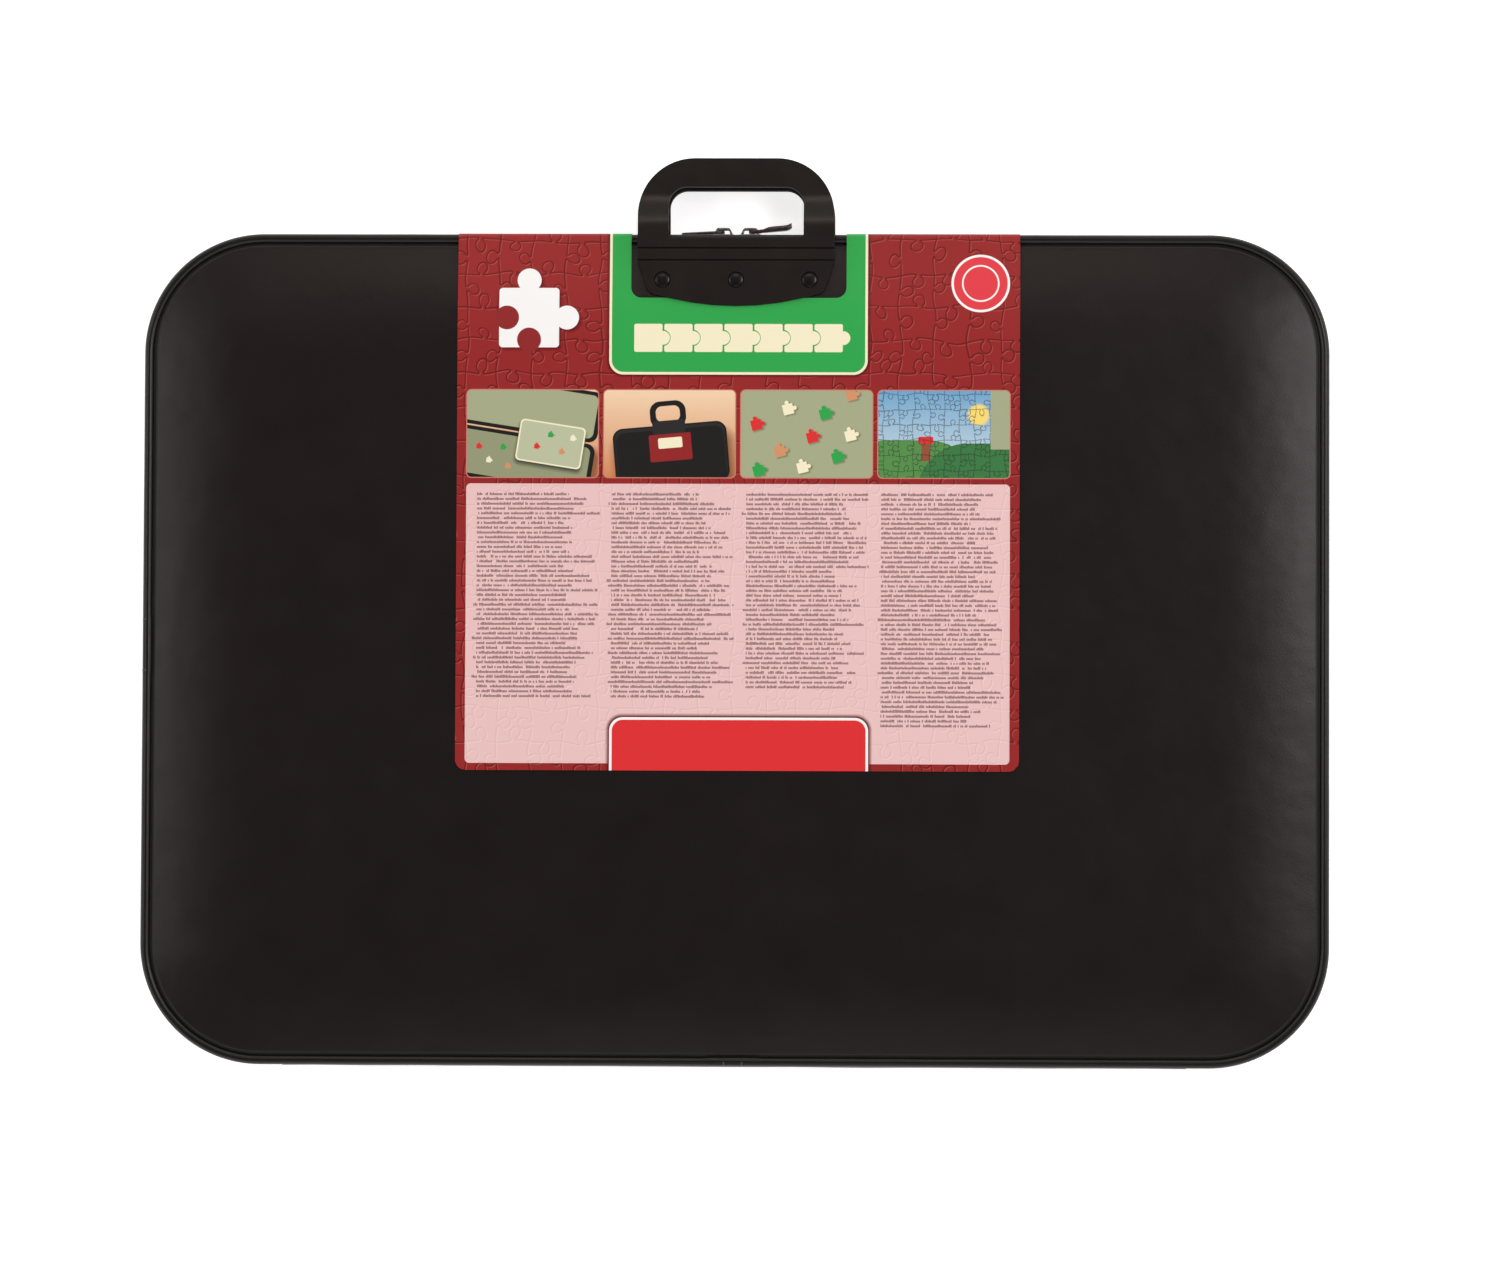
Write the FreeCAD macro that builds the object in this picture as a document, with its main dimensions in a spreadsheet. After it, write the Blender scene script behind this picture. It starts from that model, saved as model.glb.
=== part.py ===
import FreeCAD, Part
import os
import re
import Sketcher

# A padded carry case for jigsaw puzzles, lying shut on its rear face: a tray with a lid hinged
# along the long edge at -Y, a zip with two sliders round the other three edges, a plastic handle
# on each face at +Y, a felt work surface, two loose panels and a printed card on each face.
# X is the long side, +Y points to the handles and +Z is up. The origin lies on the rest face.
# Every piece of a half is drawn as in the tray; the lid is the same half turned over.

V = FreeCAD.Vector

SIZES = [
    ("case_length", 790.0, "over the piping, along X"),
    ("case_width", 554.0, "over the piping, along Y"),
    ("case_thickness", 40.0, "over the two padded faces"),
    ("corner_radius", 80.0, "of the outline in plan"),
    ("crown_run", 74.0, "from the outline in to the flat of a face"),
    ("crown_radius", 312.0, "of the slope from the flat to the roll"),
    ("roll_inset", 10.2, "where the slope turns down into the groove"),
    ("roll_radius", 5.0, "of the turn into the groove"),
    ("groove_inset", 6.6, "edge of the cover, beside the piping"),
    ("groove_depth", 9.0, "edge of the cover, below the face"),
    ("cover_thickness", 1.0, "of the leatherette"),
    ("padding_thickness", 8.9, "of the foam under the flat of a face"),
    ("board_thickness", 2.5, "of the stiffener"),
    ("lining_thickness", 1.2, "of the felt, and of the wall's foot beside it"),
    ("lining_gap", 0.2, "between the felt and the wall's foot"),
    ("piping_radius", 3.1, "of the bead"),
    ("piping_depth", 9.2, "centre of the bead, below the face"),
    ("sleeve_thickness", 0.4, "of the wrap over a joint of the bead"),
    ("sleeve_reach", 2.8, "how far the wrap goes round, above and inside the bead"),
    ("side_sleeve_length", 38.0, "wrap at the left of the lid"),
    ("end_sleeve_length", 34.0, "wrap at the middle of the hinge edge"),
    ("side_sleeve_place", 2.0, "centre of the left wrap along Y"),
    ("wall_inset", 3.1, "outer face of the side wall"),
    ("wall_thickness", 2.6, "of the side wall"),
    ("wall_height", 3.0, "of the side wall above the board"),
    ("wall_joint", 0.2, "between two lengths of the wall"),
    ("foot_width", 5.3, "of the wall's foot on the board"),
    ("tape_thickness", 0.6, "of the zip tape"),
    ("tape_lap", 2.0, "of the tape over the wall"),
    ("coil_width", 3.3, "of one zip coil, across the chain"),
    ("coil_thickness", 1.8, "of a zip coil, out of the tape"),
    ("coil_tape_gap", 0.1, "between the coil and the tape"),
    ("chain_gap", 0.5, "from the mid plane to each coil"),
    ("zip_setback", 9.0, "from a corner's turn along the hinge edge to the end of a coil"),
    ("stop_length", 4.0, "of an end stop"),
    ("stop_grip", 0.3, "by which a stop stands out round the coil"),
    ("spine_gap", 4.0, "between an end stop and the spine strip"),
    ("spine_thickness", 0.8, "of the spine strip"),
    ("spine_lap", 2.4, "of the spine strip over the wall"),
    ("spine_slit", 0.15, "from the mid plane to each half of the spine"),
    ("hinge_offset", 0.7, "of the fold line outside the piping"),
    ("panel_inset", 12.0, "of the loose panels inside the outline"),
    ("panel_gap", 1.0, "between the two panels"),
    ("panel_board_thickness", 2.6, "of a panel's board"),
    ("panel_felt_thickness", 1.0, "of a panel's felt"),
    ("panel_felt_inset", 1.5, "of the felt inside the board's edge"),
    ("card_thickness", 0.4, "of the printed card"),
    ("card_width", 374.4, "along X"),
    ("card_drop", 358.0, "from the handle edge down the face"),
    ("card_offset", 2.0, "of the card's middle, to the right of the case's"),
    ("card_corner", 7.0, "radius of the card's corners"),
    ("card_lift", 36.0, "where the card leaves the padding for the piping"),
    ("card_slack", 0.1, "between the card and the piping"),
    ("card_return", 3.9, "of the card's fold past the middle of the piping"),
    ("window_width", 143.4, "of the card's cut-out for the handle"),
    ("window_depth", 43.0, "of that cut-out"),
    ("handle_width", 131.0, "over the arms"),
    ("handle_rise", 50.6, "above the edge of the case"),
    ("handle_shoulder", 38.0, "radius of the grip's outer corners"),
    ("handle_skin", 3.2, "thickness of the plate and of the grip's foot"),
    ("handle_depth", 10.0, "thickness of the grip"),
    ("handle_sink", 0.1, "of the handle's face behind the card's"),
    ("handle_step", 2.2, "from the case's edge to the thick part of the grip"),
    ("grip_edge", 2.6, "rounding of the grip"),
    ("finger_width", 90.0, "of the finger opening"),
    ("finger_height", 31.5, "of the finger opening"),
    ("finger_corner", 8.5, "radius of its corners"),
    ("flex_line", 13.8, "line on which the grip flexes, in from the edge"),
    ("flex_slit", 0.1, "from that line to the grip and to the plate"),
    ("flex_groove", 4.0, "from that line to the groove on each side"),
    ("groove_cut", 1.0, "depth of those grooves"),
    ("plate_reach", 48.7, "of the plate in from the edge, at its middle"),
    ("plate_side", 39.2, "of its lower corners in from the edge"),
    ("plate_foot_width", 117.4, "across its lower corners"),
    ("plate_bow", 190.0, "radius of its lower edge"),
    ("lip_thickness", 0.9, "of the plate where it overlaps the card"),
    ("lip_reach", 42.2, "inner end of that lip, in from the edge"),
    ("lip_root", 1.8, "thickness of the plate just inside the lip"),
    ("rivet_line", 31.0, "of the rivets in from the edge"),
    ("rivet_pitch", 49.0, "between rivets"),
    ("rivet_radius", 2.4, "of a shank"),
    ("rivet_head", 5.2, "radius of a head"),
    ("rivet_seat", 5.6, "radius of the seat in the plate"),
    ("rivet_sink", 1.3, "depth of that seat"),
    ("rivet_rise", 0.9, "height of a head"),
    ("rivet_clearance", 0.1, "round a shank"),
    ("washer_radius", 7.0, "of a washer"),
    ("washer_thickness", 0.8, "of a washer"),
    ("slider_place", 9.0, "of a slider's middle from the middle of the edge"),
    ("slider_length", 15.0, "along the zip"),
    ("slider_width", 11.0, "of the outer plate"),
    ("slider_plate", 1.4, "thickness of the outer plate"),
    ("slider_clearance", 0.2, "of the outer plate from the coil"),
    ("slider_back", 1.2, "thickness of the inner plate"),
    ("slider_back_width", 8.4, "of the inner plate"),
    ("slider_post", 0.5, "thickness of the post between the coils"),
    ("slider_flange", 1.1, "thickness of the flange beside the coil"),
    ("slider_corner", 2.2, "rounding of the plates' corners"),
    ("bridge_length", 13.0, "of the arch on a slider"),
    ("bridge_height", 4.6, "of that arch"),
    ("bridge_slope", 3.5, "run of its sloping ends"),
    ("bridge_wire", 1.2, "thickness of that arch"),
    ("bridge_width", 3.4, "across the zip"),
    ("pull_pin_height", 1.5, "of the pull's pin above the plate"),
    ("pull_length", 28.0, "from the pin to the tip"),
    ("pull_width", 6.8, "across the pull"),
    ("pull_thickness", 1.6, "of the pull"),
    ("pull_pin", 1.0, "radius of that pin"),
    ("pull_slot", 7.5, "far end of the slot, from the pin"),
    ("pull_arm", 1.3, "width of each side of the slot"),
    ("pull_tip", 2.4, "corner radius of the tip"),
    ("right_pull_angle", 5.0, "direction of the right pull, from +X"),
    ("left_pull_angle", 183.0, "direction of the left pull, from +X"),
]

doc = FreeCAD.newDocument("puzzle_case")
sheet = doc.addObject("Spreadsheet::Sheet", "Sizes")
for row, (alias, size, note) in enumerate(SIZES, start=1):
    sheet.set(f"A{row}", alias)
    sheet.set(f"B{row}", str(size))
    sheet.set(f"C{row}", note)
    sheet.setAlias(f"B{row}", alias)
doc.recompute()

ALIASES = {alias for alias, size, note in SIZES}

# Levels and edges of the tray half, as formulas of the sizes
FACE = "card_thickness"
BOARD_BOTTOM = "(card_thickness + cover_thickness + padding_thickness)"
BOARD_TOP = f"({BOARD_BOTTOM} + board_thickness)"
LINING_TOP = f"({BOARD_TOP} + lining_thickness)"
WALL_TOP = f"({BOARD_TOP} + wall_height)"
MIDDLE = "(card_thickness + case_thickness / 2)"
GROOVE = "(card_thickness + groove_depth)"
PIPING = "(card_thickness + piping_depth)"
END = "(case_length / 2)"
EDGE = "(case_width / 2)"
CORNER_X = "(case_length / 2 - corner_radius)"
CORNER_Y = "(case_width / 2 - corner_radius)"
ZIP_END = f"({CORNER_X} - zip_setback)"
FOOT_INSET = "(wall_inset + wall_thickness)"
LINING_INSET = f"({FOOT_INSET} + foot_width + lining_gap)"
COIL_INSET = "(wall_inset - tape_thickness - coil_tape_gap - coil_thickness)"
HANDLE_FACE = "handle_sink"
HANDLE_BACK = "(handle_sink + handle_skin)"
FLEX = f"({EDGE} - flex_line)"
SLIDER_OUT = f"({EDGE} - {COIL_INSET} + slider_clearance)"

# How near two places count as the same, and how far a cut runs past what it cuts
CLOSE = 0.001
CUT_PAST = "1"


def linked(formula):
    """The formula with each size read from the sheet."""
    return re.sub(r"[a-z]\w*", lambda m: "Sizes." + m[0] if m[0] in ALIASES else m[0], formula)


def number(formula):
    """What a formula comes to now."""
    return float(sheet.evalExpression(linked(formula)))


def body(label, turned_over=False):
    """A new piece. A lid's piece is the tray's, turned over about the case's long middle plane."""
    piece = doc.addObject("PartDesign::Body", label)
    piece.Label = label
    if turned_over:
        piece.Placement = FreeCAD.Placement(V(0, 0, 0), FreeCAD.Rotation(V(0, 1, 0), 180))
        piece.setExpression("Placement.Base.z", linked(f"2 * {MIDDLE}"))
    return piece


def sketch(piece, plane, level="0"):
    """A sketch on one of the piece's own planes, moved out along the plane's normal."""
    support = next(f for f in piece.Origin.OriginFeatures if f.Role == plane)
    drawing = piece.newObject("Sketcher::SketchObject", piece.Label + "_sketch")
    drawing.AttachmentSupport = [(support, "")]
    drawing.MapMode = "FlatFace"
    drawing.setExpression("AttachmentOffset.Base.z", linked(level))
    return drawing


def arc_between(start, end, radius):
    """The shorter arc, anticlockwise for a positive radius."""
    chord = end - start
    reach = (radius * radius - chord.Length**2 / 4) ** 0.5
    side = V(-chord.y, chord.x, 0).normalize()
    centre = (start + end) * 0.5 + side * (reach if radius > 0 else -reach)
    first, last = (start, end) if radius > 0 else (end, start)
    circle = Part.Circle(centre, V(0, 0, 1), abs(radius))
    return Part.ArcOfCircle(circle, circle.parameter(first), circle.parameter(last))


def outline(drawing, points, closed=True):
    """A line through points of (x, y) formulas; a third formula is the radius of the arc to it."""
    places = [V(number(p[0]), number(p[1]), 0) for p in points]
    first = drawing.GeometryCount
    ends = []
    count = len(points) if closed else len(points) - 1
    for step in range(count):
        after = (step + 1) % len(points)
        start, end = places[step], places[after]
        at = first + step
        if len(points[after]) == 2:
            drawing.addGeometry(Part.LineSegment(start, end), False)
            ends.append(((at, 1), (at, 2)))
            continue
        radius = number(points[after][2])
        drawing.addGeometry(arc_between(start, end, radius), False)
        ends.append(((at, 1), (at, 2)) if radius > 0 else ((at, 2), (at, 1)))
        kept = drawing.addConstraint(Sketcher.Constraint("Radius", at, abs(radius)))
        drawing.setExpression(f"Constraints[{kept}]", linked(f"abs({points[after][2]})"))
    for step in range(count if closed else count - 1):
        here, there = ends[step][1], ends[(step + 1) % count][0]
        drawing.addConstraint(Sketcher.Constraint("Coincident", *here, *there))
    held = [(ends[step][0], points[step], places[step]) for step in range(count)]
    if not closed:
        held.append((ends[-1][1], points[-1], places[-1]))
    for spot, point, place in held:
        for axis, formula, now in (("DistanceX", point[0], place.x), ("DistanceY", point[1], place.y)):
            kept = drawing.addConstraint(Sketcher.Constraint(axis, -1, 1, *spot, now))
            drawing.setExpression(f"Constraints[{kept}]", linked(formula))


def circle(drawing, x, y, radius):
    """A circle placed and sized by formulas."""
    at = drawing.GeometryCount
    centre = V(number(x), number(y), 0)
    drawing.addGeometry(Part.Circle(centre, V(0, 0, 1), number(radius)), False)
    rules = [
        (Sketcher.Constraint("Radius", at, number(radius)), radius),
        (Sketcher.Constraint("DistanceX", -1, 1, at, 3, centre.x), x),
        (Sketcher.Constraint("DistanceY", -1, 1, at, 3, centre.y), y),
    ]
    for rule, formula in rules:
        drawing.setExpression(f"Constraints[{drawing.addConstraint(rule)}]", linked(formula))


def rounded(inset):
    """The case's outline in plan, moved inwards, from the middle of its right-hand end."""
    a = f"{END} - {inset}"
    b = f"{EDGE} - {inset}"
    r = f"corner_radius - {inset}"
    return [
        (a, "0"),
        (a, CORNER_Y),
        (CORNER_X, b, r),
        (f"-{CORNER_X}", b),
        (f"-({a})", CORNER_Y, r),
        (f"-({a})", f"-{CORNER_Y}"),
        (f"-{CORNER_X}", f"-({b})", r),
        (CORNER_X, f"-({b})"),
        (a, f"-{CORNER_Y}", r),
    ]


def three_sides(outer, inner):
    """A band round the ends and the handle edge, open along the spine."""
    points = []
    for inset, way in ((outer, 1), (inner, -1)):
        a = f"{END} - {inset}"
        b = f"{EDGE} - {inset}"
        r = f"corner_radius - {inset}" if way > 0 else f"-(corner_radius - {inset})"
        s, t = ("", "-") if way > 0 else ("-", "")
        points += [
            (f"{s}{ZIP_END}", f"-({b})"),
            (f"{s}{CORNER_X}", f"-({b})"),
            (f"{s}({a})", f"-{CORNER_Y}", r),
            (f"{s}({a})", CORNER_Y),
            (f"{s}{CORNER_X}", b, r),
            (f"{t}{CORNER_X}", b),
            (f"{t}({a})", CORNER_Y, r),
            (f"{t}({a})", f"-{CORNER_Y}"),
            (f"{t}{CORNER_X}", f"-({b})", r),
            (f"{t}{ZIP_END}", f"-({b})"),
        ]
    return points


def pad(piece, drawing, length, both_ways=False, backwards=False):
    """Thickens a sketch."""
    feature = piece.newObject("PartDesign::Pad", piece.Label + "_pad")
    feature.Profile = drawing
    feature.Midplane = both_ways
    feature.Reversed = backwards
    feature.setExpression("Length", linked(length))
    return feature


def cut(piece, drawing, length=None, backwards=False):
    """Cuts a sketch out of the piece, right through both ways or to a depth, and proves that it cut."""
    before = piece.Tip.Shape.Volume
    feature = piece.newObject("PartDesign::Pocket", piece.Label + "_cut")
    feature.Profile = drawing
    if length is None:
        feature.Type = "ThroughAll"
        feature.Midplane = True
    else:
        feature.Reversed = backwards
        feature.setExpression("Length", linked(length))
    doc.recompute()
    if not feature.Shape.Volume < before:
        raise ValueError("nothing was cut from " + piece.Label)
    return feature


def sweep(piece, section, path):
    """Carries a section along a path."""
    feature = piece.newObject("PartDesign::AdditivePipe", piece.Label + "_sweep")
    feature.Profile = (section, [""])
    feature.Spine = (path, [])
    return feature


def edges_where(feature, wanted):
    """Names of the feature's edges for which a test of the edge holds."""
    doc.recompute()
    return [f"Edge{i}" for i, edge in enumerate(feature.Shape.Edges, start=1) if wanted(edge)]


def fillet(piece, feature, radius, wanted):
    """Rounds the edges for which a test holds."""
    rounding = piece.newObject("PartDesign::Fillet", piece.Label + "_fillet")
    rounding.Base = (feature, edges_where(feature, wanted))
    rounding.setExpression("Radius", linked(radius))
    return rounding


def upright(edge):
    """Whether an edge runs straight along Z."""
    return len(edge.Vertexes) == 2 and edge.BoundBox.XLength + edge.BoundBox.YLength < CLOSE


def lies_at(edge, level):
    """Whether an edge lies in the level plane of that height."""
    return edge.BoundBox.ZLength < CLOSE and abs(edge.BoundBox.ZMin - level) < CLOSE


def crown(inset, depth="0"):
    """Height of a padded face's slope, or of a surface that lies deeper under it."""
    reach = f"(crown_radius - {depth})"
    run = f"(crown_run - {inset})"
    return f"({FACE} + crown_radius - sqrt({reach} * {reach} - {run} * {run}))"


def rivet_holes(piece, radius, level, length=None, backwards=False):
    """Three round holes on the rivets' line."""
    drawing = sketch(piece, "XY_Plane", level)
    for place in ("-rivet_pitch", "0", "rivet_pitch"):
        circle(drawing, place, f"{EDGE} - rivet_line", radius)
    cut(piece, drawing, length, backwards)


def padded_layer(label, section, level, thickness, turned_over):
    """A layer with a flat middle and a rolled edge: the section goes round, then the middle is filled."""
    piece = body(label, turned_over)
    path = sketch(piece, "XY_Plane")
    outline(path, rounded("0"))
    profile = sketch(piece, "XZ_Plane")
    outline(profile, section)
    sweep(piece, profile, path)
    middle = sketch(piece, "XY_Plane", level)
    outline(middle, rounded("crown_run"))
    pad(piece, middle, thickness)
    doc.recompute()
    rivet_holes(piece, "rivet_radius + rivet_clearance", "0")
    return piece


def ring(label, bands, turned_over):
    """Upright bands round the outline: (outer inset, inner inset, level, height)."""
    piece = body(label, turned_over)
    for outer, inner, level, height in bands:
        drawing = sketch(piece, "XY_Plane", level)
        outline(drawing, rounded(outer))
        outline(drawing, rounded(inner))
        pad(piece, drawing, height)
    return piece


# Leatherette cover: a thin shell, flat in the middle, sloping and rolling down to the groove
def cover(half, turned_over):
    under = f"({FACE} + cover_thickness)"
    section = [
        (f"{END} - groove_inset", GROOVE, "roll_radius"),
        (f"{END} - groove_inset - cover_thickness", GROOVE),
        (f"{END} - roll_inset", crown("roll_inset", "cover_thickness"), "-(roll_radius - cover_thickness)"),
        (f"{END} - crown_run", under, "-(crown_radius - cover_thickness)"),
        (f"{END} - crown_run", FACE),
        (f"{END} - roll_inset", crown("roll_inset"), "crown_radius"),
    ]
    return padded_layer(half + "_cover", section, FACE, "cover_thickness", turned_over)


# Foam padding between the cover and the board
def padding(half, turned_over):
    under = f"({FACE} + cover_thickness)"
    section = [
        (f"{END} - groove_inset - cover_thickness", BOARD_BOTTOM),
        (f"{END} - crown_run", BOARD_BOTTOM),
        (f"{END} - crown_run", under),
        (f"{END} - roll_inset", crown("roll_inset", "cover_thickness"), "crown_radius - cover_thickness"),
        (f"{END} - groove_inset - cover_thickness", GROOVE, "roll_radius - cover_thickness"),
    ]
    return padded_layer(half + "_padding", section, under, "padding_thickness", turned_over)


# Stiffener board, with a seat for each washer
def board(half, turned_over):
    piece = body(half + "_board", turned_over)
    drawing = sketch(piece, "XY_Plane", BOARD_BOTTOM)
    outline(drawing, rounded("(groove_inset + cover_thickness)"))
    pad(piece, drawing, "board_thickness")
    doc.recompute()
    rivet_holes(piece, "rivet_radius + rivet_clearance", BOARD_BOTTOM)
    rivet_holes(piece, "washer_radius + rivet_clearance", BOARD_TOP, "washer_thickness")
    return piece


# Felt glued on the board, inside the wall's foot
def lining(half, turned_over):
    piece = body(half + "_lining", turned_over)
    drawing = sketch(piece, "XY_Plane", BOARD_TOP)
    outline(drawing, rounded(LINING_INSET))
    pad(piece, drawing, "lining_thickness")
    return piece


# Side wall: a stiff upright strip with a foot glued on the board, in four straight lengths and four bent
def side_wall(half, turned_over):
    bands = [
        ("wall_inset", FOOT_INSET, BOARD_TOP, "wall_height"),
        (FOOT_INSET, f"({FOOT_INSET} + foot_width)", BOARD_TOP, "lining_thickness"),
    ]
    piece = ring(half + "_side_wall", bands, turned_over)
    piece.AllowCompound = True
    doc.recompute()
    joints = sketch(piece, "XY_Plane")
    deep = f"({FOOT_INSET} + foot_width + {CUT_PAST})"
    for s, t in (("", ""), ("", "-"), ("-", ""), ("-", "-")):
        ends = (f"{t}({EDGE} - {deep})", f"{t}({EDGE} + {CUT_PAST})")
        outline(joints, strip(f"{s}{CORNER_X}", ends))
        ends = (f"{t}({END} - {deep})", f"{t}({END} + {CUT_PAST})")
        outline(joints, [(y, x) for x, y in strip(f"{s}{CORNER_Y}", ends)])
    cut(piece, joints)
    return piece


def strip(middle, ends):
    """A joint's rectangle, on both sides of its middle line."""
    sides = (f"{middle} - wall_joint / 2", f"{middle} + wall_joint / 2")
    return [(sides[0], ends[0]), (sides[1], ends[0]), (sides[1], ends[1]), (sides[0], ends[1])]


# Piping: a round bead sewn in between the cover and the side wall
def piping(half, turned_over):
    piece = body(half + "_piping", turned_over)
    path = sketch(piece, "XY_Plane", PIPING)
    outline(path, rounded("piping_radius"))
    section = sketch(piece, "XZ_Plane")
    circle(section, f"{END} - piping_radius", PIPING, "piping_radius")
    sweep(piece, section, path)
    return piece


def sleeve_section(far):
    """The wrap's C-shaped section round the bead, seen with its outer side towards the outline."""
    middle = f"({far} - piping_radius)"
    outer = "(piping_radius + sleeve_thickness)"
    side = {r: f"sqrt({r} * {r} - sleeve_reach * sleeve_reach)" for r in (outer, "piping_radius")}
    return [
        (f"{middle} + {side[outer]}", f"{PIPING} + sleeve_reach", outer),
        (f"{middle} + {side['piping_radius']}", f"{PIPING} + sleeve_reach"),
        (f"{middle}", f"{PIPING} - piping_radius", "-piping_radius"),
        (f"{middle} - sleeve_reach", f"{PIPING} - {side['piping_radius']}", "-piping_radius"),
        (f"{middle} - sleeve_reach", f"{PIPING} - {side[outer]}"),
        (f"{middle}", f"{PIPING} - {outer}", outer),
    ]


# Wraps over the joints of the piping: at the middle of the hinge edge, and one more on the lid
def piping_sleeve(half, turned_over):
    piece = body(half + "_piping_sleeve", turned_over)
    piece.AllowCompound = True
    section = sketch(piece, "YZ_Plane")
    mirrored = [(f"-({p[0]})", p[1]) + tuple(f"-({r})" for r in p[2:]) for p in sleeve_section(EDGE)]
    outline(section, mirrored)
    pad(piece, section, "end_sleeve_length", both_ways=True)
    if not turned_over:
        return piece
    section = sketch(piece, "XZ_Plane", "-side_sleeve_place")
    outline(section, sleeve_section(END))
    pad(piece, section, "side_sleeve_length", both_ways=True)
    return piece


# Zip tape, sewn on the wall's outer face
def zip_tape(half, turned_over):
    piece = body(half + "_zip_tape", turned_over)
    drawing = sketch(piece, "XY_Plane", f"{WALL_TOP} - tape_lap")
    outline(drawing, three_sides("(wall_inset - tape_thickness)", "wall_inset"))
    pad(piece, drawing, f"{MIDDLE} - chain_gap - {WALL_TOP} + tape_lap")
    return piece


# Zip coil, sewn on the tape's edge
def zip_coil(half, turned_over):
    piece = body(half + "_zip_coil", turned_over)
    drawing = sketch(piece, "XY_Plane", f"{MIDDLE} - chain_gap - coil_width")
    inner = f"({COIL_INSET} + coil_thickness)"
    outline(drawing, three_sides(COIL_INSET, inner))
    pad(piece, drawing, "coil_width")
    return piece


# End stops, crimped on the two ends of the coil
def zip_stops(half, turned_over):
    piece = body(half + "_zip_stops", turned_over)
    piece.AllowCompound = True
    drawing = sketch(piece, "XY_Plane", f"{MIDDLE} - chain_gap - coil_width - stop_grip")
    outer = f"-({EDGE} - {COIL_INSET} + stop_grip)"
    inner = f"-({EDGE} - wall_inset + tape_thickness + coil_tape_gap / 2)"
    for side in ("", "-"):
        points = [
            (f"{side}{ZIP_END}", inner),
            (f"{side}({ZIP_END} - stop_length)", inner),
            (f"{side}({ZIP_END} - stop_length)", outer),
            (f"{side}{ZIP_END}", outer),
        ]
        outline(drawing, points)
    pad(piece, drawing, "coil_width + stop_grip")
    return piece


# Half of the spine strip, sewn on the wall and bowed out to the fold line
def spine_strip(half, turned_over):
    piece = body(half + "_spine_strip", turned_over)
    wall = f"-({EDGE} - wall_inset)"
    fold = f"-({EDGE} + hinge_offset)"
    section = sketch(piece, "YZ_Plane")
    points = [
        (wall, f"{WALL_TOP} - spine_lap"),
        (wall, WALL_TOP),
        (f"{fold} + spine_thickness", f"{MIDDLE} - spine_slit"),
        (fold, f"{MIDDLE} - spine_slit"),
        (f"{wall} - spine_thickness", WALL_TOP),
        (f"{wall} - spine_thickness", f"{WALL_TOP} - spine_lap"),
    ]
    outline(section, points)
    pad(piece, section, f"2 * ({ZIP_END} - stop_length - spine_gap)", both_ways=True)
    return piece


# Handle plate: tapered, thin where its lower lip overlaps the card, with seats for three rivets
def handle_plate(half, turned_over):
    piece = body(half + "_handle_plate", turned_over)
    drawing = sketch(piece, "XY_Plane", HANDLE_FACE)
    top = f"{FLEX} - flex_slit"
    points = [
        ("handle_width / 2", top),
        ("-handle_width / 2", top),
        ("-handle_width / 2", f"{FLEX} - flex_groove"),
        ("-plate_foot_width / 2", f"{EDGE} - plate_side"),
        ("0", f"{EDGE} - plate_reach", "plate_bow"),
        ("plate_foot_width / 2", f"{EDGE} - plate_side", "plate_bow"),
        ("handle_width / 2", f"{FLEX} - flex_groove"),
    ]
    outline(drawing, points)
    slab = pad(piece, drawing, "handle_skin")
    lower = number(f"{EDGE} - rivet_line")
    corners = fillet(piece, slab, "card_corner", lambda e: upright(e) and e.BoundBox.YMax < lower
                     and abs(e.BoundBox.XMax) > CLOSE)
    doc.recompute()
    if not corners.Shape.isValid():
        raise ValueError("the plate's corners")
    under = sketch(piece, "YZ_Plane")
    low = f"{EDGE} - plate_reach - {CUT_PAST}"
    points = [
        (low, f"{HANDLE_BACK} + {CUT_PAST}"),
        (low, f"{HANDLE_FACE} + lip_thickness"),
        (f"{EDGE} - lip_reach", f"{HANDLE_FACE} + lip_thickness"),
        (f"{EDGE} - lip_reach", f"{HANDLE_FACE} + lip_root"),
        (f"{EDGE} - rivet_line", HANDLE_BACK),
        (f"{EDGE} - rivet_line", f"{HANDLE_BACK} + {CUT_PAST}"),
    ]
    outline(under, points)
    cut(piece, under)
    grooves = sketch(piece, "YZ_Plane")
    outline(grooves, v_groove(f"{FLEX} - flex_groove"))
    cut(piece, grooves)
    rivet_holes(piece, "rivet_radius + rivet_clearance", HANDLE_FACE)
    rivet_holes(piece, "rivet_seat", HANDLE_FACE, "rivet_sink", backwards=True)
    return piece


def v_groove(place):
    """A shallow V across the handle's face."""
    return [
        (f"{place} - groove_cut", HANDLE_FACE),
        (f"{place}", f"{HANDLE_FACE} + groove_cut"),
        (f"{place} + groove_cut", HANDLE_FACE),
    ]


def arch(half_width, top, radius, foot, back=False):
    """Up the right side from a foot, over a top with round corners and down the left side, or back."""
    near, far = ("-", "") if back else ("", "-")
    turn = f"-{radius}" if back else radius
    return [
        (f"{near}{half_width}", foot),
        (f"{near}{half_width}", f"{top} - {radius}"),
        (f"{near}({half_width} - {radius})", top, turn),
        (f"{far}({half_width} - {radius})", top),
        (f"{far}{half_width}", f"{top} - {radius}", turn),
        (f"{far}{half_width}", foot),
    ]


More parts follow.
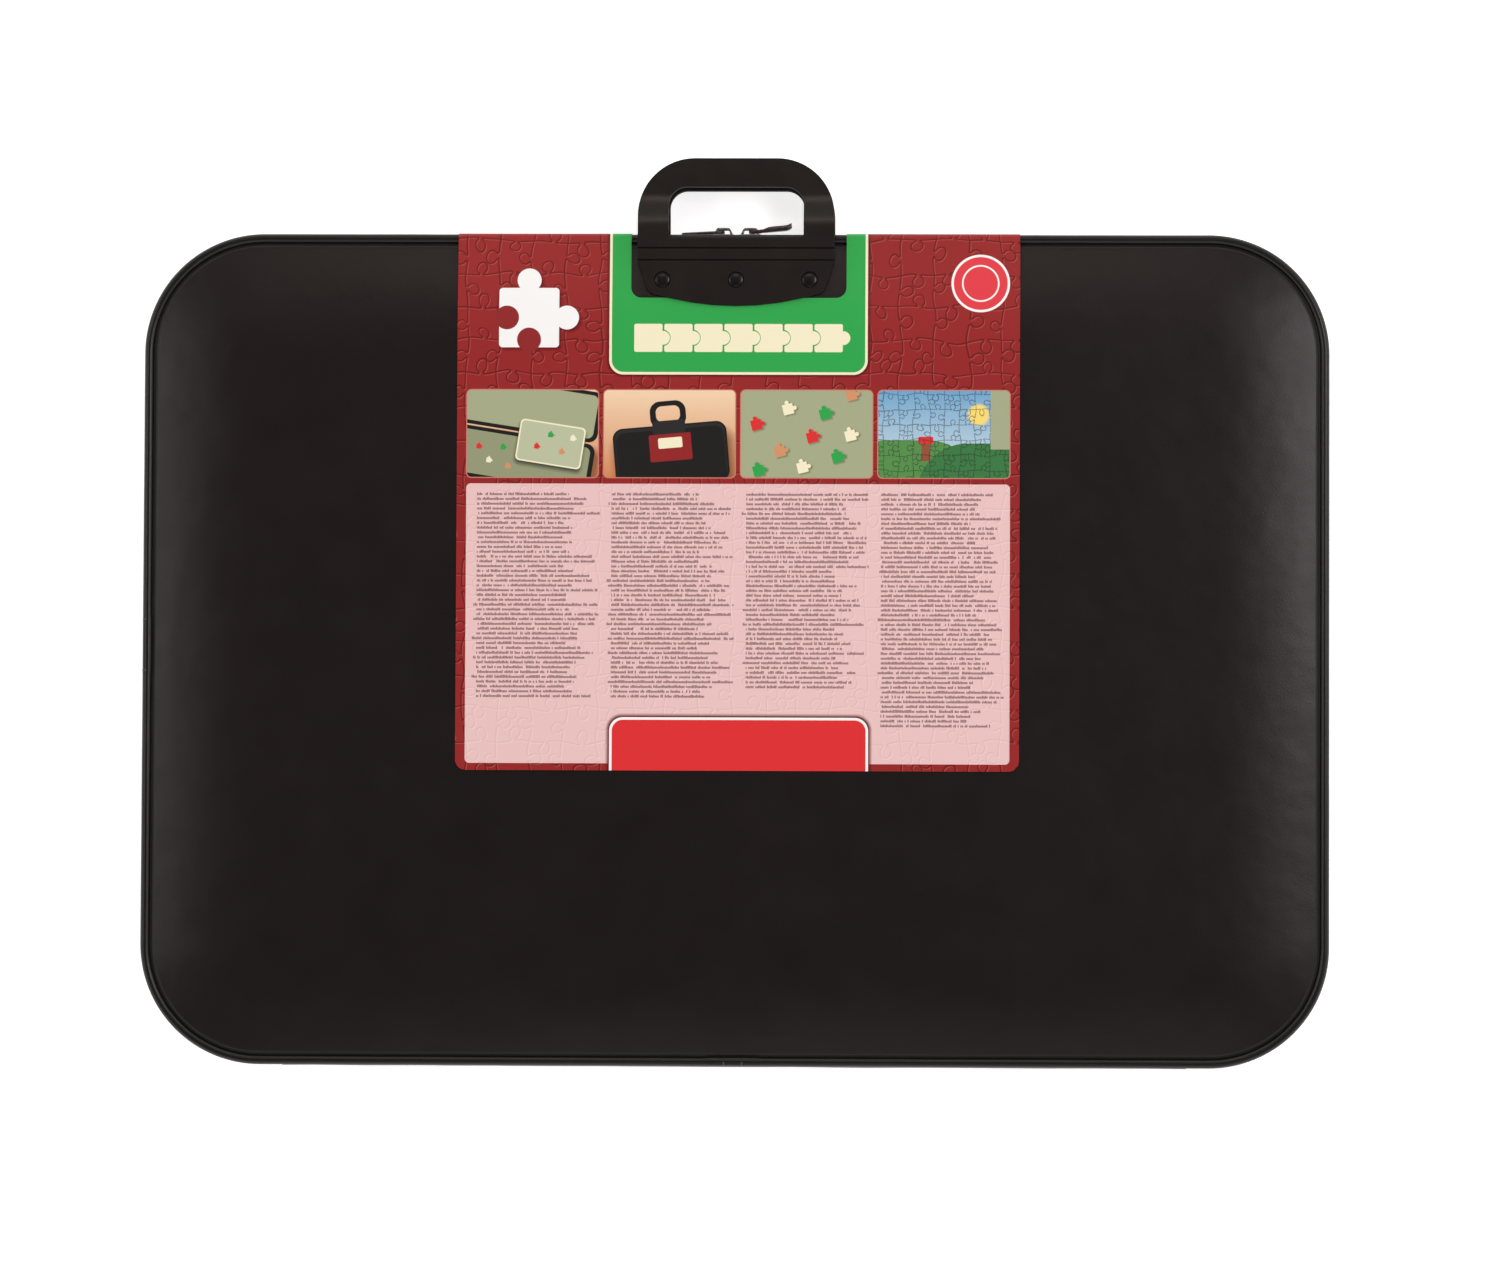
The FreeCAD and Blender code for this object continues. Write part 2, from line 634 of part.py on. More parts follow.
# Grip: a D-shaped loop, thin across the rim of the case and thick where the fingers hold it
def grip(half, turned_over):
    piece = body(half + "_grip", turned_over)
    outer = ("(handle_width / 2)", f"({EDGE} + handle_rise)", "handle_shoulder")
    finger = ("(finger_width / 2)", f"({EDGE} + finger_height)", "finger_corner")
    thin = sketch(piece, "XY_Plane", HANDLE_FACE)
    outline(thin, arch(*outer, f"{FLEX} + flex_slit"))
    opening = arch(*finger, f"{EDGE} + finger_corner") + [
        ("-(finger_width / 2 - finger_corner)", EDGE, "finger_corner"),
        ("finger_width / 2 - finger_corner", EDGE),
    ]
    opening[0] += ("finger_corner",)
    outline(thin, opening)
    pad(piece, thin, "handle_skin")
    thick = sketch(piece, "XY_Plane", HANDLE_BACK)
    step = f"({EDGE} + handle_step)"
    outline(thick, arch(*outer, step) + arch(*finger, step, back=True))
    loop = pad(piece, thick, "handle_depth - handle_skin")
    back_face = number(f"{HANDLE_FACE} + handle_depth")
    front_face = number(HANDLE_FACE)
    rim = number(EDGE)
    foot = number(step)

    def held(edge):
        """The loop's edges on both faces, but not those across the feet of its thick part."""
        box = edge.BoundBox
        if lies_at(edge, back_face):
            return box.YLength > CLOSE or box.YMin > foot + CLOSE
        return lies_at(edge, front_face) and box.YMin > rim - CLOSE

    fillet(piece, loop, "grip_edge", held)
    doc.recompute()
    groove = sketch(piece, "YZ_Plane")
    outline(groove, v_groove(f"{FLEX} + flex_groove"))
    cut(piece, groove)
    return piece


# Rivets: domed heads in the plate's seats, shanks through the layers to the washers
def rivets(half, turned_over):
    piece = body(half + "_rivets", turned_over)
    piece.AllowCompound = True
    place = f"({EDGE} - rivet_line)"
    seat = f"({HANDLE_FACE} + rivet_sink)"
    section = sketch(piece, "YZ_Plane")
    dome = "(rivet_head * rivet_head / (2 * rivet_rise) + rivet_rise / 2)"
    points = [
        (place, f"{seat} - rivet_rise"),
        (f"{place} + rivet_head", seat, dome),
        (f"{place} + rivet_radius", seat),
        (f"{place} + rivet_radius", BOARD_TOP),
        (place, BOARD_TOP),
    ]
    outline(section, points)
    axis = Part.LineSegment(V(number(place), 0, 0), V(number(place), number(BOARD_TOP), 0))
    axis_at = section.addGeometry(axis, True)
    section.addConstraint(Sketcher.Constraint("Vertical", axis_at))
    kept = section.addConstraint(Sketcher.Constraint("DistanceX", -1, 1, axis_at, 1, number(place)))
    section.setExpression(f"Constraints[{kept}]", linked(place))
    turned = piece.newObject("PartDesign::Revolution", piece.Label + "_turned")
    turned.Profile = section
    turned.ReferenceAxis = (section, ["Axis0"])
    turned.Angle = 360
    doc.recompute()
    row = piece.newObject("PartDesign::LinearPattern", piece.Label + "_row")
    row.Originals = [turned]
    row.Direction = (next(f for f in piece.Origin.OriginFeatures if f.Role == "X_Axis"), [""])
    row.Occurrences = 2
    row.setExpression("Length", linked("rivet_pitch"))
    piece.Tip = row
    doc.recompute()
    other = piece.newObject("PartDesign::LinearPattern", piece.Label + "_row_left")
    other.Originals = [turned]
    other.Direction = (next(f for f in piece.Origin.OriginFeatures if f.Role == "X_Axis"), [""])
    other.Reversed = True
    other.Occurrences = 2
    other.setExpression("Length", linked("rivet_pitch"))
    piece.Tip = other
    return piece


# Washers under the rivets' tails, let into the board
def washers(half, turned_over):
    piece = body(half + "_washers", turned_over)
    piece.AllowCompound = True
    drawing = sketch(piece, "XY_Plane", f"{BOARD_TOP} - washer_thickness")
    for place in ("-rivet_pitch", "0", "rivet_pitch"):
        circle(drawing, place, f"{EDGE} - rivet_line", "washer_radius")
        circle(drawing, place, f"{EDGE} - rivet_line", "rivet_radius")
    pad(piece, drawing, "washer_thickness")
    return piece


# Printed card: lies on the face, crosses to the piping, folds over it, and leaves the handle free
def card(half, turned_over):
    piece = body(half + "_card", turned_over)
    far = f"({EDGE} - card_drop)"
    flat = f"({EDGE} - crown_run)"
    lift = f"({EDGE} - card_lift)"
    top = f"({EDGE} - piping_radius)"
    inner = "(piping_radius + card_slack)"
    outer = "(piping_radius + card_slack + card_thickness)"
    end = f"({PIPING} + card_return)"
    section = sketch(piece, "YZ_Plane", "-card_offset")
    points = [
        (far, "0"),
        (flat, "0"),
        (lift, crown("card_lift", "-card_thickness"), "crown_radius + card_thickness"),
        (top, f"{PIPING} - {outer}"),
        (f"{top} + {outer}", PIPING, outer),
        (f"{top} + {outer}", end),
        (f"{top} + {inner}", end),
        (f"{top} + {inner}", PIPING),
        (top, f"{PIPING} - {inner}", f"-{inner}"),
        (lift, crown("card_lift")),
        (flat, FACE, "-crown_radius"),
        (far, FACE),
    ]
    outline(section, points)
    folded = pad(piece, section, "card_width", both_ways=True)
    low = number(far)
    fillet(piece, folded, "card_corner", lambda e: upright(e) and abs(e.BoundBox.YMin - low) < CLOSE)
    doc.recompute()
    window = sketch(piece, "XY_Plane")
    sill = f"({EDGE} - window_depth)"
    left, right = (f"(-card_offset {sign} window_width / 2)" for sign in "-+")
    points = [
        (f"{left} + card_corner", sill, "card_corner"),
        (f"{right} - card_corner", sill),
        (right, f"{sill} + card_corner", "card_corner"),
        (right, f"{EDGE} + {outer}"),
        (left, f"{EDGE} + {outer}"),
        (left, f"{sill} + card_corner"),
    ]
    outline(window, points)
    cut(piece, window)
    return piece


def placed(label, x, y, z, angle=None):
    """A new piece drawn about its own middle and put where it goes."""
    piece = body(label)
    for axis, formula in (("x", x), ("y", y), ("z", z)):
        piece.setExpression("Placement.Base." + axis, linked(formula))
    if angle:
        piece.setExpression("Placement.Rotation.Angle", linked(angle))
    return piece


# Slider: an outer and an inner plate joined by a post that runs between the coils
def slider(side, x):
    piece = placed(side + "_slider", x, SLIDER_OUT, MIDDLE)
    coil_back = "(slider_clearance + coil_thickness + coil_tape_gap)"
    back = f"({coil_back} + tape_thickness + 2 * slider_clearance)"
    post, wide, behind = "slider_post / 2", "slider_width / 2", "slider_back_width / 2"
    section = sketch(piece, "YZ_Plane")
    points = [
        ("slider_plate", f"-{wide}"),
        ("slider_plate", wide),
        ("0", wide),
        ("0", post),
        (f"-{back}", post),
        (f"-{back}", behind),
        (f"-({back} + slider_back)", behind),
        (f"-({back} + slider_back)", f"-{behind}"),
        (f"-{back}", f"-{behind}"),
        (f"-{back}", f"-{post}"),
        ("0", f"-{post}"),
        ("0", f"-({wide} - slider_flange)"),
        (f"-({coil_back} - slider_clearance)", f"-({wide} - slider_flange)"),
        (f"-({coil_back} - slider_clearance)", f"-{wide}"),
    ]
    outline(section, points)
    block = pad(piece, section, "slider_length", both_ways=True)
    side_face = number("slider_width / 2")

    def plate_corner(edge):
        """The plate's corners, which run through its thickness."""
        box = edge.BoundBox
        return box.XLength + box.ZLength < CLOSE and abs(abs(box.ZMin) - side_face) < CLOSE

    fillet(piece, block, "slider_corner", plate_corner)
    return piece


# Bridge: a flat arch on the slider, through which the pull's pin passes
def bridge(side, x):
    piece = placed(side + "_slider_bridge", x, f"{SLIDER_OUT} + slider_plate", MIDDLE)
    section = sketch(piece, "XY_Plane")
    half, flat = "(bridge_length / 2)", "(bridge_length / 2 - bridge_slope)"
    points = [
        (f"-{half}", "0"),
        (f"-({half} - bridge_wire)", "0"),
        (f"-({flat} - bridge_wire / 3)", "bridge_height - bridge_wire"),
        (f"{flat} - bridge_wire / 3", "bridge_height - bridge_wire"),
        (f"{half} - bridge_wire", "0"),
        (half, "0"),
        (flat, "bridge_height"),
        (f"-{flat}", "bridge_height"),
    ]
    outline(section, points)
    pad(piece, section, "bridge_width", both_ways=True)
    return piece


# Pull: a flat tab with a slot, and a round pin across its end through the bridge
def pull(side, x, angle):
    piece = placed(side + "_pull", x, f"{SLIDER_OUT} + slider_plate + pull_pin_height", MIDDLE, angle)
    drawing = sketch(piece, "XZ_Plane")
    half = "(pull_width / 2)"
    slot = f"({half} - pull_arm)"
    points = [
        ("0", f"-{half}"),
        ("pull_length - pull_tip", f"-{half}"),
        ("pull_length", f"-({half} - pull_tip)", "pull_tip"),
        ("pull_length", f"{half} - pull_tip"),
        ("pull_length - pull_tip", half, "pull_tip"),
        ("0", half),
        ("0", slot),
        ("pull_slot", slot),
        ("pull_slot", f"-{slot}"),
        ("0", f"-{slot}"),
    ]
    outline(drawing, points)
    pad(piece, drawing, "pull_thickness", both_ways=True)
    pin = sketch(piece, "XY_Plane")
    circle(pin, "0", "0", "pull_pin")
    pad(piece, pin, "pull_width", both_ways=True)
    return piece


def panel_layer(label, inset, level, thickness, turn):
    """One layer of a loose panel: straight at the middle of the case, rounded at its outer end."""
    piece = body(label)
    piece.Placement = FreeCAD.Placement(V(0, 0, 0), FreeCAD.Rotation(V(0, 0, 1), turn))
    drawing = sketch(piece, "XY_Plane", level)
    a = f"({END} - {inset})"
    b = f"({EDGE} - {inset})"
    near = f"(panel_gap / 2 + {inset} - panel_inset)"
    points = [
        (near, f"-{b}"),
        (CORNER_X, f"-{b}"),
        (a, f"-{CORNER_Y}", f"corner_radius - {inset}"),
        (a, CORNER_Y),
        (CORNER_X, b, f"corner_radius - {inset}"),
        (near, b),
    ]
    outline(drawing, points)
    pad(piece, drawing, thickness)
    return piece


# Loose panels: a pale board with felt on top, one over each half of the tray
def panel(side, turn):
    felt = "(panel_inset + panel_felt_inset)"
    top = f"{LINING_TOP} + panel_board_thickness"
    return [
        panel_layer(side + "_panel_board", "panel_inset", LINING_TOP, "panel_board_thickness", turn),
        panel_layer(side + "_panel_felt", felt, top, "panel_felt_thickness", turn),
    ]


HALF_PIECES = [
    cover, padding, board, lining, side_wall, piping, piping_sleeve, zip_tape, zip_coil, zip_stops,
    spine_strip, handle_plate, grip, rivets, washers, card,
]

pieces = [make(half, turned_over) for half, turned_over in (("tray", False), ("lid", True))
          for make in HALF_PIECES]
for side, x, angle in (
    ("left", "-slider_place", "left_pull_angle"),
    ("right", "slider_place", "right_pull_angle"),
):
    pieces += [slider(side, x), bridge(side, x), pull(side, x, angle)]
pieces += panel("right", 0) + panel("left", 180)

doc.recompute()
faults = [o.Label for o in doc.Objects if "Invalid" in o.State or "Error" in o.State]
faults += [p.Label for p in pieces if p.Shape.isNull() or not p.Shape.isValid()]
if faults:
    raise ValueError("these failed: " + ", ".join(faults))

os.makedirs("parts", exist_ok=True)
for piece in pieces:
    piece.Shape.exportStep(f"parts/{piece.Label}.step")
    box = piece.Shape.BoundBox
    print(f"{piece.Label:22} solids {len(piece.Shape.Solids)} volume {piece.Shape.Volume:11.1f}"
          f" x {box.XMin:7.1f} {box.XMax:7.1f} y {box.YMin:7.1f} {box.YMax:7.1f}"
          f" z {box.ZMin:6.2f} {box.ZMax:6.2f}")
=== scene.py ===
import bmesh
import bpy
import math
import random
from mathutils import Matrix, Vector, noise


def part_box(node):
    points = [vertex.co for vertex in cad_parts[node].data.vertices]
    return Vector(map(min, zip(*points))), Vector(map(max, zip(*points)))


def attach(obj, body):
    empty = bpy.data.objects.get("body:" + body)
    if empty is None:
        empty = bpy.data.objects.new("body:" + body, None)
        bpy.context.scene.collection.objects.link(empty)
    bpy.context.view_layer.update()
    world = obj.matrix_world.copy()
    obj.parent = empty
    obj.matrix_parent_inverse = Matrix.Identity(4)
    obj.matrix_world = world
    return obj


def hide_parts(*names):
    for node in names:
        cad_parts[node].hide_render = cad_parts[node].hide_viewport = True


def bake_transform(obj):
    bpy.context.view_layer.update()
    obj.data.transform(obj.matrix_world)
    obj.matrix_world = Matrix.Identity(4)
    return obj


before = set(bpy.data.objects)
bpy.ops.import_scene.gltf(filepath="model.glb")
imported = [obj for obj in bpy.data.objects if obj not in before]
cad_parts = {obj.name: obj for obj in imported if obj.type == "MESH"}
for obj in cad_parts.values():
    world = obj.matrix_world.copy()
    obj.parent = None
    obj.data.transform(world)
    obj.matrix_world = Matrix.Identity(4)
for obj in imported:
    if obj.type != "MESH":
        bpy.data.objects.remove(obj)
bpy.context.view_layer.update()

# Covers
# One sheet of black grained leatherette on each face, bonded to the foam and sewn in beside
# the piping. It is flat in the middle, then slopes, and rolls down into the groove.
MM = 0.001
LID_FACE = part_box("lid_cover")[1].z
MIDDLE = (LID_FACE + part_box("tray_cover")[0].z) / 2
END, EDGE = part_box("lid_piping")[1].xy
CORNER = 80 * MM
STRAIGHT_X, STRAIGHT_Y = END - CORNER, EDGE - CORNER
QUARTER = math.pi / 2
TURN_OVER = Matrix.Translation((0, 0, 2 * MIDDLE)) @ Matrix.Rotation(math.pi, 4, "Y")
SLOPE_RUN, SLOPE_RADIUS = 74 * MM, 312 * MM
ROLL_INSET, ROLL_DEPTH, ROLL_RADIUS = 10.93 * MM, 11.51 * MM, 5 * MM
ROLL_FROM, ROLL_TO = math.radians(45), math.radians(81.6)
SEWN_INSET, SEWN_DEPTH = 6.3 * MM, 8.4 * MM
COVER_THICKNESS = 1.0 * MM
FACE_STEP = 9.84 * MM


def shade(red, green, blue):
    """A colour from its screen values of 0 to 255, as the shaders take it."""
    linear = [((v / 255 + 0.055) / 1.055) ** 2.4 if v > 10 else v / 255 / 12.92 for v in (red, green, blue)]
    return (*linear, 1.0)


def add(tree, kind, inputs=None, **settings):
    """A shader node with its settings, and its inputs as numbers, colours or other nodes' outputs."""
    made = tree.nodes.new(kind)
    for name, value in settings.items():
        setattr(made, name, value)
    for name, value in (inputs or {}).items():
        if isinstance(value, bpy.types.NodeSocket):
            tree.links.new(value, made.inputs[name])
        else:
            made.inputs[name].default_value = value
    return made


def new_material(name):
    """A material with its node tree and its shader."""
    material = bpy.data.materials.new(name)
    material.use_nodes = True
    return material, material.node_tree, material.node_tree.nodes["Principled BSDF"]


def over(tree, under, colour, cover):
    """Lays a colour over another as far as the cover is 1."""
    mix = add(tree, "ShaderNodeMix", {"Factor": cover, 6: under, 7: colour}, data_type="RGBA")
    return mix.outputs[2]


def blotch(tree, place, dark, light, size, spread=0.25, detail=3.0):
    """A colour that drifts between two shades in soft patches of about that size."""
    patches = add(tree, "ShaderNodeTexNoise", {"Vector": place, "Scale": 1 / size, "Detail": detail})
    ramp = add(tree, "ShaderNodeMapRange", {"Value": patches.outputs["Fac"], "From Min": 0.5 - spread,
                                            "From Max": 0.5 + spread})
    return over(tree, dark, light, ramp.outputs[0])


def relief(tree, shader, layers):
    """Bumps one over the other: each a height from 0 to 1 and its real depth in metres."""
    normal = None
    for height, depth in layers:
        bump = add(tree, "ShaderNodeBump", {"Height": height, "Distance": depth, "Strength": 1.0})
        if normal:
            tree.links.new(normal, bump.inputs["Normal"])
        normal = bump.outputs[0]
    tree.links.new(normal, shader.inputs["Normal"])


def grained(name, dark, light, pebble, depth, rough):
    """Black leatherette or vinyl: pebble grain, fine creases between the pebbles and a satin face."""
    material, tree, shader = new_material(name)
    place = add(tree, "ShaderNodeTexCoord").outputs["Object"]
    colour = blotch(tree, place, dark, light, 45 * MM)
    tree.links.new(colour, shader.inputs["Base Color"])
    pebbles = add(tree, "ShaderNodeTexVoronoi", {"Vector": place, "Scale": 1 / pebble, "Smoothness": 0.6},
                  feature="SMOOTH_F1")
    pores = add(tree, "ShaderNodeTexNoise", {"Vector": place, "Scale": 2.5 / pebble, "Detail": 2.0})
    waves = add(tree, "ShaderNodeTexNoise", {"Vector": place, "Scale": 0.05 / pebble, "Detail": 1.0})
    relief(tree, shader, [(waves.outputs["Fac"], 8 * depth), (pebbles.outputs["Distance"], depth),
                          (pores.outputs["Fac"], 0.4 * depth)])
    patches = add(tree, "ShaderNodeTexNoise", {"Vector": place, "Scale": 0.03 / pebble, "Detail": 3.0})
    gloss = add(tree, "ShaderNodeMapRange", {"Value": patches.outputs["Fac"], "To Min": rough - 0.04,
                                             "To Max": rough + 0.04})
    tree.links.new(gloss.outputs[0], shader.inputs["Roughness"])
    shader.inputs["Specular IOR Level"].default_value = 0.3
    return material


def finished(bm, name, material, crease=40):
    """The bmesh as an object in the scene, smooth but for edges sharper than the crease, in degrees."""
    bmesh.ops.recalc_face_normals(bm, faces=bm.faces)
    bm.edges.index_update()
    open_rims = [e.index for e in bm.edges if e.is_boundary]
    mesh = bpy.data.meshes.new(name)
    bm.to_mesh(mesh)
    bm.free()
    mesh.shade_smooth()
    mesh.set_sharp_from_angle(angle=math.radians(crease))
    for number in open_rims:
        mesh.edges[number].use_edge_sharp = True
    mesh.materials.append(material)
    piece = bpy.data.objects.new(name, mesh)
    bpy.context.scene.collection.objects.link(piece)
    return piece


def stands_for(piece, body, slot, *nodes):
    """Ties a finished piece to its body and hides the CAD nodes that it replaces; the slot for its finish is not used.
    """
    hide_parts(*nodes)
    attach(piece, body)


def for_both_halves(name, make, slot, *nodes):
    """Makes a piece on the lid, and again, turned over, on the tray."""
    made = []
    for half in ("lid", "tray"):
        piece = make(f"{half}_{name}")
        if half == "tray":
            piece.data.transform(TURN_OVER)
        stands_for(piece, half, slot, *(f"{half}_{node}" for node in nodes))
        made.append(piece)
    return made


def chain(bm, points, closed=False):
    """A line of edges through the points."""
    verts = [bm.verts.new(p) for p in points]
    pairs = list(zip(verts, verts[1:] + verts[:1]))
    return [bm.edges.new(pair) for pair in (pairs if closed else pairs[:-1])]


def carried(bm, front):
    """Extrudes a line of edges on the spot: the new line and its vertices."""
    grown = bmesh.ops.extrude_edge_only(bm, edges=front)["geom"]
    rim = {g for g in grown if isinstance(g, bmesh.types.BMVert)}
    edges = [g for g in grown if isinstance(g, bmesh.types.BMEdge) and set(g.verts) <= rim]
    return edges, list(rim)


def run_round(bm, front, start=0.0, spacing=FACE_STEP, turns=18):
    """Carries a section round the case, from a start on the hinge edge to its mirror place there."""
    corners = [(STRAIGHT_X, -STRAIGHT_Y), (STRAIGHT_X, STRAIGHT_Y), (-STRAIGHT_X, STRAIGHT_Y),
               (-STRAIGHT_X, -STRAIGHT_Y)]
    legs = [STRAIGHT_X - start, 2 * STRAIGHT_Y, 2 * STRAIGHT_X, 2 * STRAIGHT_Y, STRAIGHT_X - start]
    for leg, length in enumerate(legs):
        heading = Matrix.Rotation(leg * QUARTER, 3, "Z") @ Vector((1, 0, 0))
        steps = 2 * max(1, round(length / spacing / 2))
        for _ in range(steps):
            front, rim = carried(bm, front)
            bmesh.ops.translate(bm, vec=heading * (length / steps), verts=rim)
        if leg == len(corners):
            break
        for _ in range(turns):
            front, rim = carried(bm, front)
            bmesh.ops.rotate(bm, cent=(*corners[leg], 0), matrix=Matrix.Rotation(QUARTER / turns, 3, "Z"),
                             verts=rim)
    bmesh.ops.remove_doubles(bm, verts=bm.verts, dist=0.001 * MM)


def at_inset(inset, z):
    """A point of a section, over the middle of the hinge edge."""
    return Vector((0, inset - EDGE, z))


def inset_of(point):
    """How far a point lies in from the case's outline."""
    over_x, over_y = abs(point.x) - STRAIGHT_X, abs(point.y) - STRAIGHT_Y
    if over_x > 0 and over_y > 0:
        return CORNER - math.hypot(over_x, over_y)
    return CORNER - max(over_x, over_y)


def slope_depth(inset):
    """How far the sloping face lies below the flat."""
    run = max(0.0, SLOPE_RUN - inset)
    return SLOPE_RADIUS - math.sqrt(SLOPE_RADIUS**2 - run**2)


def face_section(skin):
    """Points over a padded face, from the groove to the flat, as deep under it as the skin is thick."""
    points = [] if skin else [(SEWN_INSET, SEWN_DEPTH)]
    for step in range(7):
        angle = ROLL_FROM + (ROLL_TO - ROLL_FROM) * step / 6
        reach = ROLL_RADIUS - skin
        points.append((ROLL_INSET - reach * math.cos(angle), ROLL_DEPTH - reach * math.sin(angle) - skin))
    for share in (0.05, 0.12, 0.2, 0.3, 0.42, 0.55, 0.7, 0.85, 1.0):
        inset = ROLL_INSET + (SLOPE_RUN - ROLL_INSET) * share
        points.append((inset, slope_depth(inset)))
    points.append((CORNER, 0.0))
    return [at_inset(inset, LID_FACE - skin - depth) for inset, depth in points]


def padded_face(bm, skin):
    """The rim of a padded face and its flat middle."""
    run_round(bm, chain(bm, face_section(skin)))
    size = Matrix.Translation((0, 0, LID_FACE - skin)) @ Matrix.Diagonal((STRAIGHT_X, STRAIGHT_Y, 1, 1))
    columns, rows = (2 * round(side / FACE_STEP) for side in (STRAIGHT_X, STRAIGHT_Y))
    bmesh.ops.create_grid(bm, x_segments=columns, y_segments=rows, size=1, matrix=size)
    bmesh.ops.remove_doubles(bm, verts=bm.verts, dist=0.01 * MM)


def soften(bm):
    """Lets the sheet sink a little here and there, and pucker finely where the seam pulls on it."""
    for vert in bm.verts:
        inset = inset_of(vert.co)
        broad = noise.noise(vert.co / (95 * MM)) + 0.5 * noise.noise(vert.co / (38 * MM))
        near = math.exp(-max(0.0, inset - 9 * MM) / (9 * MM)) * min(1.0, max(0.0, inset - 6.9 * MM) / (3 * MM))
        pucker = near * noise.noise(vert.co / (13 * MM) + Vector((7, 3, 1)))
        free = min(1.0, max(0.0, inset - 8 * MM) / (20 * MM))
        vert.co.z -= 0.28 * MM * free * (broad + 0.9) + 0.35 * MM * max(0.0, pucker)


LEATHERETTE = grained("leatherette", shade(22, 16, 16), shade(26, 20, 20), 0.9 * MM, 0.03 * MM, 0.35)


def make_cover(name):
    bm = bmesh.new()
    padded_face(bm, 0)
    soften(bm)
    piece = finished(bm, name, LEATHERETTE, 60)
    wall = piece.modifiers.new("thickness", "SOLIDIFY")
    wall.thickness = COVER_THICKNESS
    wall.offset = -1
    return piece


for cover in for_both_halves("leatherette_cover", make_cover, "leatherette", "cover"):
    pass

# Foam padding
# A sheet of soft grey foam between each cover and its board, bonded to both, as thick as the
# face is padded and pressed thin towards the seam.
FOAM_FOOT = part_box("lid_padding")[0].z + 1.7 * MM
FOAM_GAP = 0.7 * MM


def make_foam(name):
    bm = bmesh.new()
    padded_face(bm, COVER_THICKNESS + FOAM_GAP)
    rim = [edge for edge in bm.edges if edge.is_boundary]
    front, low = carried(bm, rim)
    for vert in low:
        vert.co.z = FOAM_FOOT
    bmesh.ops.contextual_create(bm, geom=front)
    return finished(bm, name, FOAM, 50)


FOAM, tree, shader = new_material("foam")
cells = add(tree, "ShaderNodeTexVoronoi", {"Vector": add(tree, "ShaderNodeTexCoord").outputs["Object"],
                                           "Scale": 900.0})
shader.inputs["Base Color"].default_value = shade(150, 150, 152)
shader.inputs["Roughness"].default_value = 0.9
relief(tree, shader, [(cells.outputs["Distance"], 0.2 * MM)])
for pad in for_both_halves("foam_pad", make_foam, "foam", "padding"):
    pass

# Stiffener boards and washers
# Brown fibreboard gives each half its stiffness. Steel washers let into it take the rivets.
# Both are simple cut and punched pieces, so the CAD nodes stay and only get their finish.


def dress(material, *nodes):
    """Gives CAD nodes their finish."""
    for node in nodes:
        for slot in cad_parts[node].material_slots:
            slot.material = material


BOARD, tree, shader = new_material("fibreboard")
place = add(tree, "ShaderNodeTexCoord").outputs["Object"]
tree.links.new(blotch(tree, place, shade(112, 84, 58), shade(140, 108, 76), 2 * MM), shader.inputs["Base Color"])
shader.inputs["Roughness"].default_value = 0.85
fibres = add(tree, "ShaderNodeTexNoise", {"Vector": place, "Scale": 1500.0, "Detail": 4.0})
relief(tree, shader, [(fibres.outputs["Fac"], 0.08 * MM)])
dress(BOARD, "lid_board", "tray_board")

STEEL, tree, shader = new_material("zinc_plated_steel")
place = add(tree, "ShaderNodeTexCoord").outputs["Object"]
tree.links.new(blotch(tree, place, shade(150, 152, 156), shade(186, 188, 190), 3 * MM), shader.inputs["Base Color"])
shader.inputs["Metallic"].default_value = 1.0
shader.inputs["Roughness"].default_value = 0.38
dress(STEEL, "lid_washers", "tray_washers")

# Felt linings
# Sage-green needled felt, cut to the outline and glued on each board, so that a puzzle
# doesn't slide. Its cut edge is soft and a little rounded.
FELT_EDGE = 0.35 * MM


def felt_copy(name, node):
    """A felt sheet cut as its CAD node is, with its faces joined and its cut edges softened."""
    bm = bmesh.new()
    bm.from_mesh(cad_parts[node].data)
    bmesh.ops.remove_doubles(bm, verts=bm.verts, dist=0.001 * MM)
    bmesh.ops.dissolve_limit(bm, angle_limit=math.radians(0.5), verts=bm.verts, edges=bm.edges)
    rims = [e for e in bm.edges if len(e.link_faces) == 2 and e.calc_face_angle() > math.radians(60)]
    bmesh.ops.bevel(bm, geom=rims, offset=FELT_EDGE, offset_type="OFFSET", affect="EDGES", segments=2,
                    profile=0.5, material=-1)
    return finished(bm, name, FELT, 50)


FELT, tree, shader = new_material("needled_felt")
place = add(tree, "ShaderNodeTexCoord").outputs["Object"]
mottle = blotch(tree, place, shade(158, 164, 128), shade(178, 182, 148), 5 * MM, 0.3, 6.0)
tree.links.new(mottle, shader.inputs["Base Color"])
shader.inputs["Roughness"].default_value = 0.95
shader.inputs["Sheen Weight"].default_value = 0.35
shader.inputs["Sheen Roughness"].default_value = 0.5
hairs = add(tree, "ShaderNodeTexNoise", {"Vector": place, "Scale": 1400.0, "Detail": 6.0, "Distortion": 1.5})
tufts = add(tree, "ShaderNodeTexNoise", {"Vector": place, "Scale": 180.0, "Detail": 2.0})
relief(tree, shader, [(tufts.outputs["Fac"], 0.35 * MM), (hairs.outputs["Fac"], 0.25 * MM)])


def felt_sheet(name, node, body):
    """A felt sheet in place of its node."""
    piece = felt_copy(name, node)
    stands_for(piece, body, "felt", node)


for half in ("lid", "tray"):
    felt_sheet(f"{half}_felt_lining", f"{half}_lining", half)

